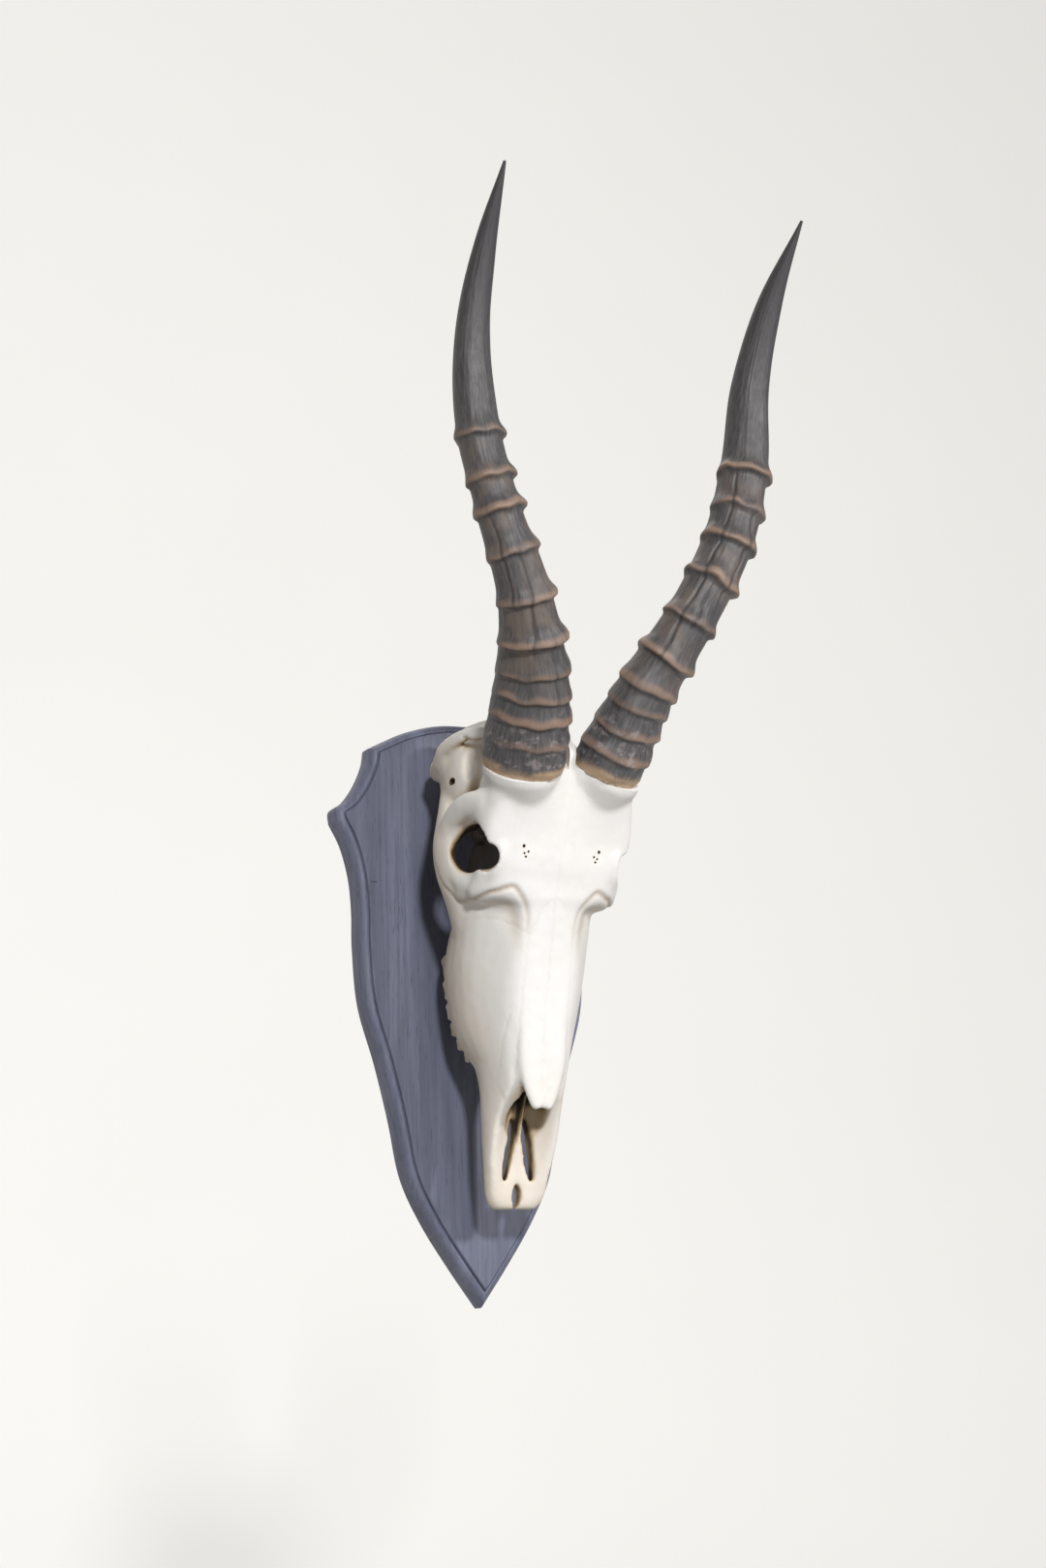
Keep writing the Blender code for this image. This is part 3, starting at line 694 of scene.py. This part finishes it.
def nearness(piece, points, line, shares, width):
    """How near each point lies to a line laid on both sides of the bone, from 0 to 1."""
    tree = BVHTree.FromObject(piece, bpy.context.evaluated_depsgraph_get())
    line = smooth_run([(*place, share) for place, share in zip(line, shares)], 4)
    sides = np.column_stack(folded(points))
    deep = np.zeros(len(points))
    for row in line.tolist():
        foot = tree.find_nearest(at(-row[0], row[1], row[2]))[0] / MM
        gap = np.linalg.norm(sides - (-foot.x, -foot.y, foot.z), axis=1)
        deep = np.maximum(deep, row[3] * np.exp(-(gap / width) ** 2))
    return deep


points, normals = read_points(skull)
seams = seam_depth(points, normals)
undulation = 0.35 * clouds(points, 22) + 0.14 * clouds(points, 7, 3.0)
ledge = nearness(skull, points, LEDGE, LEDGE_STRENGTH, LEDGE_WIDTH)
fossa = nearness(skull, points, FOSSA, FOSSA_STRENGTH, FOSSA_WIDTH)
relief = undulation - SEAM_SINK * seams - LEDGE_SINK * ledge - FOSSA_SINK * fossa
write_points(skull, points + normals * (relief * MM)[:, None])
carry(skull, "seam", seams)
# Stored so that the bone can paint shade under the ledge and in the hollow.
carry(skull, "ledge", np.maximum(ledge, 0.5 * fossa))
print("deepest seam:", round(float(seams.max()), 2), "deepest relief:", round(float(relief.min()), 2), "mm")

# %% [markdown]
# ## Sharp cuts
# The last cuts are sharp, so they come after the remeshes and the relief: the seats of the horns,
# the flats of the teeth, the screw's hole, the side next to the plaque, and the holes through which
# nerves leave the bone above the eyes and at the temples.

# %% Seats, flats and nerve holes
TOOTH_SEAT_OUT, TOOTH_SEAT_SLOPE = 45.0, -0.32
PLAQUE_THICKNESS = 18.0
SCREW_UP, SCREW_RADIUS, SCREW_LENGTH = 138.0, 2.2, 52.0
NERVE_HOLES = [((26.2, 140, 79.0), (1.0, 5, 1.1)), ((25.4, 139, 74.8), (0.8, 3, 0.8)),
               ((22.9, 139, 75.8), (0.7, 3, 0.8)), ((24.3, 138, 72.8), (0.8, 3, 0.7)),
               ((48, 84, 131.2), (7, 3.2, 2.0))]
HORN_SEAT_RADII, HORN_SEAT_DEPTH = (29, 31), 60
TOOTH_FLAT_SIZE, TOOTH_FLAT_CENTRE = (27, 24, 96), (28, 12, -4)


def seat_place():
    """Place and turn of the flat on which the cheek teeth stand."""
    slope = math.atan(TOOTH_SEAT_SLOPE)
    return Matrix.Translation(at(0, TOOTH_SEAT_OUT, 0)) @ Matrix.Rotation(slope, 4, "X")


def box(name, size, place):
    deselect()
    bpy.ops.mesh.primitive_cube_add(size=1)
    piece = bpy.context.object
    piece.name = name
    piece.data.transform(place @ Matrix.Diagonal((*size, 1)))
    return piece


def cone(name, low, high, length, place, sides=64):
    deselect()
    bpy.ops.mesh.primitive_cone_add(vertices=sides, radius1=low * MM, radius2=high * MM, depth=length * MM)
    piece = bpy.context.object
    piece.name = name
    piece.data.transform(place)
    return piece


for hand, stations, _ in HORNS:
    base, along, _, _ = horn_frame(smooth_run(stations, 40), hand, 0)
    turn = along.to_track_quat("Z", "Y").to_matrix().to_4x4()
    middle = Matrix.Translation(base + along * (HORN_SEAT_DEPTH / 2 - GAP) * MM)
    cut(skull, cone("seat", *HORN_SEAT_RADII, HORN_SEAT_DEPTH, middle @ turn))
    side, out, up = (size * MM for size in TOOTH_FLAT_CENTRE)
    flat = seat_place() @ Matrix.Translation((hand * side, out, up))
    cut(skull, box("flat", [size * MM for size in TOOTH_FLAT_SIZE], flat))
hole = Matrix.Translation(at(0, 0, SCREW_UP)) @ Matrix.Rotation(math.pi / 2, 4, "X")
cut(skull, cone("hole", SCREW_RADIUS + GAP, SCREW_RADIUS + GAP, 2 * (SCREW_LENGTH + 1), hole, 24))
cut(skull, box("back", (0.2, 0.1, 0.4), Matrix.Translation(at(0, PLAQUE_THICKNESS + GAP - 50, 60))))
holes = [ball("nerve hole", centre, half) for centre, half in both_sides(NERVE_HOLES)]
cut(skull, joined("nerve holes", holes))
only(skull)
bpy.ops.object.shade_smooth_by_angle(angle=math.radians(50))
print("skull after its cuts:", count(skull), "triangles")

# %% [markdown]
# ## Bone
# Bleached bone is chalk white on the face, where it has been scrubbed and has lain in the sun. It
# stays cream on the sides and round the teeth, which lie nearer the board: partly the bone's own colour
# and partly painted shade. Inside the nose and the eye sockets it is painted tan to nearly black, as
# shade in the hollows. So the colour follows how far out a point lies and how closed in it is, over
# soft stains. Short rays from each point count how much bone stands round it.

# %% Bone finish
def bone_paint():
    paint = Paint("Bleached_bone")
    where = paint.place()
    stains = paint.cloud(where, 22.0, 5.0)
    blotch = paint.cloud(where, 70.0, 4.0, 0.6)
    grain = paint.cloud(paint.place((1, 1, 0.25)), 420.0, 3.0)
    out = 0.0 - paint.node("ShaderNodeSeparateXYZ", {}, {0: where}, output=1)
    # Cream towards the board: partly the bone's own colour, partly painted shade.
    cream_and_shade_towards_board = 1 - out.step(0.040, 0.118)
    colour = paint.blend(stains.step(0.42, 0.72) * 0.4, (0.82, 0.81, 0.80), (0.76, 0.725, 0.675))
    colour = paint.blend(cream_and_shade_towards_board * (0.4 + 0.6 * stains), colour, (0.70, 0.585, 0.44))
    colour = paint.blend(blotch.step(0.58, 0.8) * 0.25, colour, (0.62, 0.54, 0.43))
    # Painted shade: the more closed in a point is, the darker it is painted, cream, then tan, then nearly
    # black.
    hidden = paint.field("closed_in")
    colour = paint.blend(hidden.step(0.05, 0.30) * 0.5, colour, (0.70, 0.60, 0.45))
    colour = paint.blend(hidden.step(0.22, 0.56) * 0.85, colour, (0.42, 0.28, 0.12))
    colour = paint.blend(hidden.step(0.50, 0.72) * 0.95, colour, (0.022, 0.015, 0.010))
    # Painted shade under the ledge below each eye and in the hollow in front of it.
    colour = paint.blend(paint.field("ledge") * 0.8, colour, (0.40, 0.31, 0.20))
    colour = paint.blend(paint.field("seam") * 0.16, colour, (0.50, 0.41, 0.31))
    pores = paint.cells(where, 700.0).step(0.0, 0.35)
    paint.raise_by(0.5 * grain + 0.5 * pores, 0.00018, 0.6)
    return paint.finish(colour, 0.42 + 0.25 * blotch)


bone = bone_paint()
print("bone nodes:", len(bone.node_tree.nodes))

# %% How closed in the bone is
RAY_START, RAY_REACH = 0.0006, 0.07
TEMPLE_HOLES = NERVE_HOLES[-1:]
HOLE_EDGE = 1.15
SOCKET_FRONT_SIDE, SOCKET_FRONT_OUT, SOCKET_FRONT_UP, SOCKET_FRONT_SHADE = 36, 116, 84, 0.45


def settle(piece, values, rounds):
    """Evens out values between the points that share an edge."""
    ends = np.empty(len(piece.data.edges) * 2, np.int32)
    piece.data.edges.foreach_get("vertices", ends)
    one, other = ends.reshape(-1, 2).T
    around = np.bincount(ends, minlength=len(values))
    for _ in range(rounds):
        total = np.bincount(one, values[other], len(values)) + np.bincount(other, values[one], len(values))
        values = (values + total) / (1 + around)
    return values


def closed_in(piece, points, normals, rays):
    """The share of the sky over each point that the bone itself hides."""
    tree = BVHTree.FromObject(piece, bpy.context.evaluated_depsgraph_get())
    golden = math.pi * (3 - math.sqrt(5))
    hidden = np.zeros(len(points))
    for k in range(rays):
        lift = math.sqrt((k + 0.5) / rays)
        turn = golden * k
        local = Vector((lift * math.cos(turn), lift * math.sin(turn), math.sqrt(1 - lift * lift)))
        for i in range(len(points)):
            normal = Vector(normals[i])
            way = normal.to_track_quat("Z", "Y") @ local
            if tree.ray_cast(Vector(points[i]) + normal * RAY_START, way, RAY_REACH)[0] is not None:
                hidden[i] += 1
    return settle(piece, hidden / rays, 3)


def in_temple_holes(points):
    """Marks the walls of the nerve hole in each temple, to be painted dark as shade to its rim."""
    inside = np.zeros(len(points))
    for centre, half in both_sides(TEMPLE_HOLES):
        gap = (points - np.array(at(*centre))) / (np.array(half) * MM)
        inside[(gap ** 2).sum(axis=1) < HOLE_EDGE] = 1
    return inside


def front_of_socket(points):
    """Tells which points lie on the front wall of an eye socket, which light still reaches."""
    side, out, up = folded(points)
    return (side > SOCKET_FRONT_SIDE) & (out > SOCKET_FRONT_OUT) & (up < SOCKET_FRONT_UP)


def deep_in_socket(points):
    """Marks the side wall of the braincase that stands behind each eye, where no light comes, for painted
    shade.
    """
    side, out, up = folded(points)
    inside = np.ones(len(points))
    for margin, fade in ((32 - side, 8), (95 - out, 20), (up - 68, 8), (116 - up, 8)):
        inside = inside * np.clip(margin / fade, 0, 1)
    return inside


points, normals = read_points(skull)
hidden = closed_in(skull, points, normals, 12)
# Painted shade: the walls of the temple holes and the wall behind each eye are painted fully dark, and the
# front wall of each socket, which light still reaches, is painted lighter.
hidden = np.maximum(hidden, np.maximum(in_temple_holes(points), deep_in_socket(points)))
lighter = np.minimum(hidden, SOCKET_FRONT_SHADE)
carry(skull, "closed_in", np.where(front_of_socket(points), lighter, hidden))
skull.data.materials.clear()
skull.data.materials.append(bone)
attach(skull, "root")
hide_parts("skull")
print("closed in on average:", round(float(hidden.mean()), 3))

# %% [markdown]
# ## The horns
# A horn sheath is keratin laid down in cones, one season inside the next, and each stop leaves a
# ring. Blesbok rings stand high in front, with a sharp lower lip, and fade behind. The upper third
# is smooth. A plain tapering skin is subdivided, and each point then moves out or in by what its
# place along and around the horn asks for: rings, lengthwise furrows, and a crumpled base.

# %% Horn shape
HORN_RINGS = {
    "left": [0.050, 0.087, 0.122, 0.160, 0.211, 0.282, 0.358, 0.425, 0.478, 0.551],
    "right": [0.040, 0.078, 0.115, 0.148, 0.199, 0.273, 0.350, 0.422, 0.484, 0.552],
}
RING_HEIGHT, RING_LENGTH = 4.2, 0.013
HORN_SIDES, HORN_STEPS = 28, 150
FURROWS = {
    "left": [(-1.30, 0.18, 0.38), (-0.70, 0.26, 0.44), (-1.90, 0.10, 0.24), (1.5, 0.12, 0.50)],
    "right": [(-2.35, 0.18, 0.56), (-1.85, 0.24, 0.36), (-1.20, 0.30, 0.50), (1.5, 0.12, 0.50)],
}


def horn_blank(name, stations, hand):
    """A smooth tapering horn whose points know their place along and around it."""
    line = smooth_run(stations, 40)
    places = np.linspace(0, 1, HORN_STEPS)
    turns = [2 * math.pi * k / HORN_SIDES for k in range(HORN_SIDES)]
    rings = []
    for t in places:
        centre, _, across, front = horn_frame(line, hand, t)
        radius = station_at(line, t)[3] * MM
        rings.append([centre + radius * (math.cos(a) * across + math.sin(a) * front) for a in turns])
    blank = skin(name, rings)
    points, _ = read_points(blank)
    order = np.array([item.value for item in blank.data.attributes["order"].data])
    centres = np.array([np.mean([tuple(p) for p in ring], axis=0) for ring in rings])
    nearest = np.array([int(np.argmin(((centres - point) ** 2).sum(axis=1))) for point in points])
    carry(blank, "along", places[nearest])
    angle = 2 * math.pi * order / HORN_SIDES
    carry(blank, "turn_x", np.cos(angle))
    carry(blank, "turn_y", np.sin(angle))
    modified(blank, "SUBSURF", levels=2, render_levels=2, boundary_smooth="PRESERVE_CORNERS")
    return blank


def field_of(piece, name):
    values = np.empty(len(piece.data.vertices), np.float32)
    piece.data.attributes[name].data.foreach_get("value", values)
    return values.astype(float)


def ring_profile(distance):
    """A ring seen from the side: a long slope from the tip's side and a sharp lip towards the base."""
    return np.where(distance > 0, np.exp(-(distance / 1.25) ** 2), np.exp(-(distance / 0.42) ** 2))


def crest_height(along, facing, wobble, hand, side):
    """How high each point stands on a ring, from 0 to about 1."""
    crest = np.zeros(len(along))
    for k, ring in enumerate(HORN_RINGS[side]):
        here = ring + 0.006 * wobble - 0.004 * (1 - facing)
        height = (0.9 + 0.12 * math.sin(2.1 * k + hand)) * (1 + 0.22 * wobble)
        crest = np.maximum(crest, height * ring_profile((along - here) / RING_LENGTH))
    return crest


def furrow_depth(along, angle, radius, wobble, side):
    """How deep each point lies in a lengthwise furrow, from 0 to 1."""
    furrow = np.zeros(len(along))
    for middle, low, high in FURROWS[side]:
        gap = np.abs(np.angle(np.exp(1j * (angle - middle - 0.16 * wobble)))) * radius
        furrow = np.maximum(furrow, np.exp(-(gap / 0.9) ** 2) * rise(along, low, low + 0.03)
                            * (1 - rise(along, high - 0.05, high)))
    return furrow


def shape_horn(name, stations, hand, side):
    """A horn with its rings, furrows and crumpled base."""
    piece = horn_blank(name, stations, hand)
    line = smooth_run(stations, 40)
    along = np.clip(field_of(piece, "along"), 0, 1)
    angle = np.arctan2(field_of(piece, "turn_y"), field_of(piece, "turn_x"))
    places = np.linspace(0, 1, 601)
    frames = [horn_frame(line, hand, t) for t in places]
    rows = np.array([station_at(line, t) for t in places])

    def table(column):
        return np.column_stack([np.interp(along, places, column[:, k]) for k in range(column.shape[1])])

    centre = table(np.array([tuple(f[0]) for f in frames]))
    across = table(np.array([tuple(f[2]) for f in frames]))
    front = table(np.array([tuple(f[3]) for f in frames]))
    radius, skew = table(rows[:, 3:5]).T
    radial = np.cos(angle)[:, None] * across + np.sin(angle)[:, None] * front
    seed = 3.0 * hand
    round_place = np.column_stack([np.cos(angle), np.sin(angle), along * 12]) * MM
    wobble = clouds(round_place, 0.55, seed)
    streaks = clouds(np.column_stack([np.cos(angle) * 9, np.sin(angle) * 9, along * 9]) * MM, 1.0, seed + 5)
    crumple = clouds(np.column_stack([np.cos(angle) * 4, np.sin(angle) * 4, along * 55]) * MM, 1.0, seed + 8)
    facing = rise(-radial[:, 1], -0.75, 0.25)
    crest = crest_height(along, facing, wobble, hand, side)
    ring_rise = RING_HEIGHT * crest * (0.12 + 0.88 * facing) * np.minimum(1, radius / 14)
    ring_rise *= 0.62 + 0.38 * rise(along, 0.13, 0.22)
    furrow = furrow_depth(along, angle, radius, wobble, side)
    base = 1 - rise(along, 0.05, 0.17)
    lip = 1 - rise(along, 0.0, 0.012)
    radius = radius * (1 + skew * np.sin(2 * angle))
    radius += (ring_rise - 1.1 * furrow * (1 - 0.5 * np.minimum(crest, 1))
               + 0.28 * (streaks - 1) * np.minimum(1, radius / 10))
    radius += 0.9 * base * crumple - 1.6 * lip
    write_points(piece, centre + radial * (np.maximum(radius, 0.05) * MM)[:, None])
    for old in ("along", "turn_x", "turn_y", "order"):
        if old in piece.data.attributes:
            piece.data.attributes.remove(piece.data.attributes[old])
    carry(piece, "crest", np.minimum(crest, 1) * (0.3 + 0.7 * facing))
    carry(piece, "furrow", furrow)
    carry(piece, "height", along)
    carry(piece, "strands", np.column_stack([np.cos(angle), np.sin(angle), along * 3]))
    only(piece)
    bpy.ops.object.shade_smooth()
    return piece


horns = [shape_horn(f"Horn_{side}_sheath", stations, hand, side) for hand, stations, side in HORNS]
print("horns:", [count(piece) for piece in horns], "triangles")

# %% [markdown]
# ## Horn keratin
# The sheath is dark slate grey, nearly black towards the tip. Rubbing and weather bleach the crests
# of the rings to a reddish tan, leave grey-brown between them, and show a pale band where the sheath
# ends at the base. Fine fibres run lengthwise, so the streaks read the vector that each point
# carries around and along the horn, which has no seam.

# %% Horn finish
def horn_paint():
    paint = Paint("Weathered_horn")
    strands = paint.field("strands", "Vector")
    height = paint.field("height")
    crest = paint.field("crest")
    furrow = paint.field("furrow")
    fibre = paint.cloud(strands, 14.0, 5.0, 0.6)
    patches = paint.cloud(paint.place(), 45.0, 4.0, 0.6)
    mottle = paint.cloud(paint.place(), 160.0, 4.0, 0.6)
    tip = height.step(0.55, 0.95)
    middle = height.step(0.1, 0.22) * (1 - height.step(0.45, 0.62))
    colour = paint.blend(fibre.step(0.3, 0.75), (0.040, 0.038, 0.043), (0.105, 0.098, 0.100))
    colour = paint.blend(middle * patches.step(0.4, 0.65) * 0.65, colour, (0.17, 0.13, 0.105))
    colour = paint.blend(tip * 0.6, colour, (0.030, 0.029, 0.034))
    colour = paint.blend(crest.step(0.50, 1.0) * (0.25 + 0.65 * patches), colour, (0.36, 0.235, 0.165))
    # Painted shade: the lengthwise furrows are painted nearly black.
    colour = paint.blend(furrow * 0.75, colour, (0.020, 0.018, 0.018))
    base = 1 - height.step(0.06, 0.14)
    colour = paint.blend(base * mottle.step(0.52, 0.66) * 0.55, colour, (0.33, 0.29, 0.30))
    rim = 1 - (height + 0.03 * (patches - 0.5)).step(0.004, 0.020)
    colour = paint.blend(rim * 0.9, colour, (0.50, 0.35, 0.22))
    paint.raise_by(0.6 * fibre + 0.4 * mottle, 0.0004, 0.7)
    return paint.finish(colour, 0.38 + 0.3 * mottle)


horn_finish = horn_paint()
for horn, (_, _, side) in zip(horns, HORNS):
    horn.data.materials.clear()
    horn.data.materials.append(horn_finish)
    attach(horn, "root")
    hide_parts(f"horn_{side}")
print("horn nodes:", len(horn_finish.node_tree.nodes))

# %% [markdown]
# ## The cheek teeth
# An antelope's cheek tooth is a high pillar with two lobes, ribbed on the cheek side and ground to a
# saw edge. One function makes a crown of any size, and the twelve differ only in place and measure.

# %% Crowns
CROWN_HEIGHT = 11.0
TEETH = [("m3", 24.5, 26.5, 6.2, 8.2), ("m2", 26.2, 9.9, 6.3, 8.0), ("m1", 26.8, -5.2, 6.1, 6.8),
         ("p4", 26.6, -17.6, 5.4, 5.2), ("p3", 24.6, -27.8, 4.7, 4.7), ("p2", 21.3, -36.6, 4.1, 3.8)]
CROWN_LEVELS = [(GAP, 0.90), (1.2, 0.93), (3.5, 0.96), (6.6, 1.0), (9.0, 0.97), (10.2, 0.93),
                (CROWN_HEIGHT, 0.86)]
CROWN_SIDES = 64


def crown_rings(hand, side, up, half_width, half_length):
    """Rings of a crown, waisted into two lobes, ribbed, and higher on its cheek side."""
    for height, swell in CROWN_LEVELS:
        ring = []
        for k in range(CROWN_SIDES):
            a = 2 * math.pi * k / CROWN_SIDES
            x, z = (math.copysign(abs(wave) ** 0.6, wave) for wave in (math.cos(a), math.sin(a)))
            waist = 1 - 0.2 * math.exp(-(z / 0.25) ** 2)
            rib = 1 + 0.05 * math.cos(9 * z) * max(0.0, x)
            worn = (height / CROWN_HEIGHT) ** 3
            lift = (1.0 * x + 0.3 * math.cos(7 * z)) * worn - 0.5 * worn
            across = hand * (side + half_width * swell * waist * rib * x)
            place = Vector((across * MM, (height + lift) * MM, (up + half_length * swell * z) * MM))
            ring.append(seat_place() @ place)
        yield ring


def make_tooth(hand, side, name, sizes):
    """A crown whose grinding face is hollowed, with a raised island in it."""
    tooth = skin(f"Tooth_{side}_{name}", crown_rings(hand, *sizes))
    only(tooth)
    bpy.ops.object.mode_set(mode="EDIT")
    bpy.ops.mesh.select_all(action="DESELECT")
    bpy.ops.object.mode_set(mode="OBJECT")
    top = max(tooth.data.polygons, key=lambda face: (len(face.vertices) > 8, face.center.y))
    top.select = True
    bpy.ops.object.mode_set(mode="EDIT")
    for depth in (-0.5, 0.3):
        bpy.ops.mesh.inset(thickness=0.6 * MM, depth=depth * MM)
    bpy.ops.object.mode_set(mode="OBJECT")
    bpy.ops.object.shade_smooth_by_angle(angle=math.radians(45))
    return tooth


teeth = {}
for hand, side in ((LEFT, "left"), (RIGHT, "right")):
    for name, *sizes in TEETH:
        teeth[f"tooth_{side}_{name}"] = make_tooth(hand, side, name, sizes)
print("teeth:", len(teeth), "of", count(teeth["tooth_left_m3"]), "triangles")

# %% Enamel finish
def enamel_paint():
    paint = Paint("Worn_enamel", Coat_Weight=0.15, Coat_Roughness=0.25)
    where = paint.place()
    stain = paint.cloud(where, 160.0, 5.0, 0.6)
    line = paint.cloud(paint.place((1, 0.2, 1)), 600.0, 3.0)
    colour = paint.blend(stain.step(0.35, 0.7), (0.82, 0.77, 0.66), (0.62, 0.50, 0.35))
    colour = paint.blend(line.step(0.6, 0.75) * 0.5, colour, (0.22, 0.15, 0.09))
    paint.raise_by(line, 0.0003, 0.5)
    return paint.finish(colour, 0.3 + 0.3 * stain)


enamel = enamel_paint()
for node, tooth in teeth.items():
    tooth.data.materials.clear()
    tooth.data.materials.append(enamel)
    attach(tooth, "root")
    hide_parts(node)
print("enamel nodes:", len(enamel.node_tree.nodes))

# %% [markdown]
# ## The plaque
# The board is one plank, sawn to a shield and routed round its edge: a rounded bead, a fine step,
# and a slightly raised field. A router draws the same profile all the way round, so the skin's rings
# are the outline moved inwards and forwards step by step, with mitred corners.

# %% Board
PLAQUE_TOP_RUN = [(0, 192), (17, 191), (32, 188), (48, 182.5), (62, 175.5), (73, 169.5)]
PLAQUE_SHOULDER_RUN = [(73, 169.5), (74.5, 160), (78, 150.5), (83, 141), (89.5, 132.5), (98, 126), (98, 118)]
PLAQUE_SIDE_RUN = [(98, 118), (90, 102.5), (84.5, 82), (82.5, 60), (82.3, 36), (79, -1), (68, -38),
                   (59, -74), (51.5, -110), (38, -138), (20, -165), (0, -192)]
RIM_PROFILE = [(0.7, 0), (0, 0.8), (0, 9.0), (0.25, 10.8), (0.9, 12.7), (1.9, 14.3), (3.2, 15.5), (4.6, 16.0),
               (5.5, 15.8), (5.95, 15.0), (6.25, 15.0), (6.3, 16.9), (6.6, 17.6), (7.2, 18.0)]
BEAD_JOINTS = [(-83.5, 74.0), (-50.5, -104.0)]
FIELD_NICK_SIZE, FIELD_NICK_PLACE = (4.2, 1.4, 0.7), (-73.4, PLAQUE_THICKNESS, 78)


def plaque_outline(steps):
    """The board's outline as (side, up) points."""
    runs = [smooth_run(run, steps) for run in (PLAQUE_TOP_RUN, PLAQUE_SHOULDER_RUN, PLAQUE_SIDE_RUN)]
    half = [tuple(point) for run in runs for point in run[:-1]] + [tuple(runs[-1][-1])]
    return np.array(half + [(-x, up) for x, up in half[-2:0:-1]])


def inwards(whole):
    """The mitred direction into the board at each point of its outline."""
    before, after = np.roll(whole, 1, axis=0), np.roll(whole, -1, axis=0)
    into = (whole - before) / np.linalg.norm(whole - before, axis=1)[:, None]
    out_of = (after - whole) / np.linalg.norm(after - whole, axis=1)[:, None]
    normals = [np.column_stack([line[:, 1], -line[:, 0]]) for line in (into, out_of)]
    mitre = normals[0] + normals[1]
    return mitre / (1 + (normals[0] * normals[1]).sum(axis=1))[:, None]


def settled(line, whole, inset):
    """A moved outline without its crossings: a point too near the edge goes between its neighbours."""
    closed = np.vstack([whole, whole[:1]])
    good = to_line(line, closed) > inset * 0.985 - 0.01
    places = np.arange(len(line))
    kept = places[good]
    return np.column_stack([np.interp(places, kept, line[good, k], period=len(line)) for k in range(2)])


def board_rings():
    """The board's outline at each step of the rim, with a fine nick at each joint of the bead."""
    whole = plaque_outline(10)
    mitre = inwards(whole)
    joints = [np.exp(-(np.linalg.norm(whole - joint, axis=1) / 0.9) ** 2) for joint in BEAD_JOINTS]
    nick = np.max(joints, axis=0)
    for inset, out in RIM_PROFILE:
        on_bead = 1.0 if 9.5 < out < 16.5 and inset < 6 else 0.0
        line = settled(whole + inset * mitre, whole, inset) + (0.5 * nick * on_bead)[:, None] * mitre
        yield [at(x, out - 0.7 * n * on_bead, up) for (x, up), n in zip(line, nick)]


plaque = skin("Plaque_board", board_rings())
cut(plaque, box("nick in the field", [size * MM for size in FIELD_NICK_SIZE],
                Matrix.Translation(at(*FIELD_NICK_PLACE))))
print("plaque:", count(plaque), "triangles")

# %% [markdown]
# ## The screw
# One countersunk screw comes through the board from behind and holds the skull. Its rings make the
# screw, and the same rings, a little larger, make its hole, so the two always fit. Its thread is
# inside the bone and isn't modelled. Two crossed boxes cut the recess for the driver.

# %% Screw and its hole
SCREW_HEAD_RADIUS, SCREW_HEAD_DEPTH, SCREW_SIDES = 4.4, 3.0, 48
RECESS_SIZE, RECESS_TURN = (4.2, 3.6, 0.9), 0.3


def screw_rings(growth, start):
    """A countersunk wood screw driven in from the back of the plaque."""
    profile = [(SCREW_HEAD_RADIUS + growth, start), (SCREW_HEAD_RADIUS + growth, 0.6),
               (SCREW_RADIUS + growth, SCREW_HEAD_DEPTH + 0.6 + growth),
               (SCREW_RADIUS + growth, SCREW_LENGTH - 4), (0.4 + growth, SCREW_LENGTH)]
    turns = [2 * math.pi * k / SCREW_SIDES for k in range(SCREW_SIDES)]
    for radius, out in profile:
        yield [at(radius * math.cos(a), out, SCREW_UP + radius * math.sin(a)) for a in turns]


cut(plaque, skin("plaque screw hole", screw_rings(GAP, -1)))
only(plaque)
bpy.ops.object.shade_smooth_by_angle(angle=math.radians(28))
screw = skin("Screw", screw_rings(0, 0.2))
for turn in (0, math.pi / 2):
    place = Matrix.Translation(at(0, 0, SCREW_UP)) @ Matrix.Rotation(turn + RECESS_TURN, 4, "Y")
    cut(screw, box("recess", [size * MM for size in RECESS_SIZE], place))
only(screw)
bpy.ops.object.shade_smooth_by_angle(angle=math.radians(30))
print("screw:", count(screw), "triangles")

# %% [markdown]
# ## Stained wood and steel
# A blue-grey stain lies in the open grain and leaves the harder lines paler. The grain runs up the
# board, so the noise is squeezed along the height, and the same noise lifts the surface a little.

# %% Wood and steel finishes
def wood_paint():
    paint = Paint("Stained_wood")
    bands = paint.cloud(paint.place((1, 1, 0.10)), 38.0, 4.0, 0.5)
    lines = paint.cloud(paint.place((1, 1, 0.035)), 420.0, 4.0, 0.6)
    pores = paint.cloud(paint.place((1, 1, 0.06)), 1300.0, 2.0, 0.5)
    wear = paint.cloud(paint.place(), 26.0, 4.0, 0.6)
    colour = paint.blend(bands.step(0.3, 0.7), (0.100, 0.110, 0.165), (0.195, 0.210, 0.300))
    colour = paint.blend(lines.step(0.42, 0.66) * 0.5, colour, (0.085, 0.093, 0.135))
    colour = paint.blend(pores.step(0.60, 0.72) * 0.5, colour, (0.042, 0.046, 0.065))
    colour = paint.blend(wear.step(0.55, 0.8) * 0.3, colour, (0.195, 0.205, 0.275))
    paint.raise_by(0.6 * lines + 0.4 * pores, 0.00025, 0.6)
    return paint.finish(colour, 0.42 + 0.25 * lines)


def steel_paint():
    paint = Paint("Zinc_plated_steel", Metallic=1.0)
    scuff = paint.cloud(paint.place(), 900.0, 4.0)
    return paint.finish(paint.blend(scuff, (0.50, 0.51, 0.53), (0.66, 0.66, 0.64)), 0.25 + 0.3 * scuff)


for piece, finish, node, slot in ((plaque, wood_paint(), "plaque", "stained_wood"),
                                  (screw, steel_paint(), "fixing_screw", "steel")):
    piece.data.materials.clear()
    piece.data.materials.append(finish)
    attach(piece, "root")
    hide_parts(node)

# %% [markdown]
# ## Last measure
# The box of the packed solids and the box of the finished look are both measured, and the finished
# one is printed.

# %% Sizes and finish
sizes = [[list(corner) for corner in corners] for corners in (cad_box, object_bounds())]
for name, low, high in zip("XYZ", sizes[1][0], sizes[1][1]):
    print(name, round(low, 4), round(high, 4))
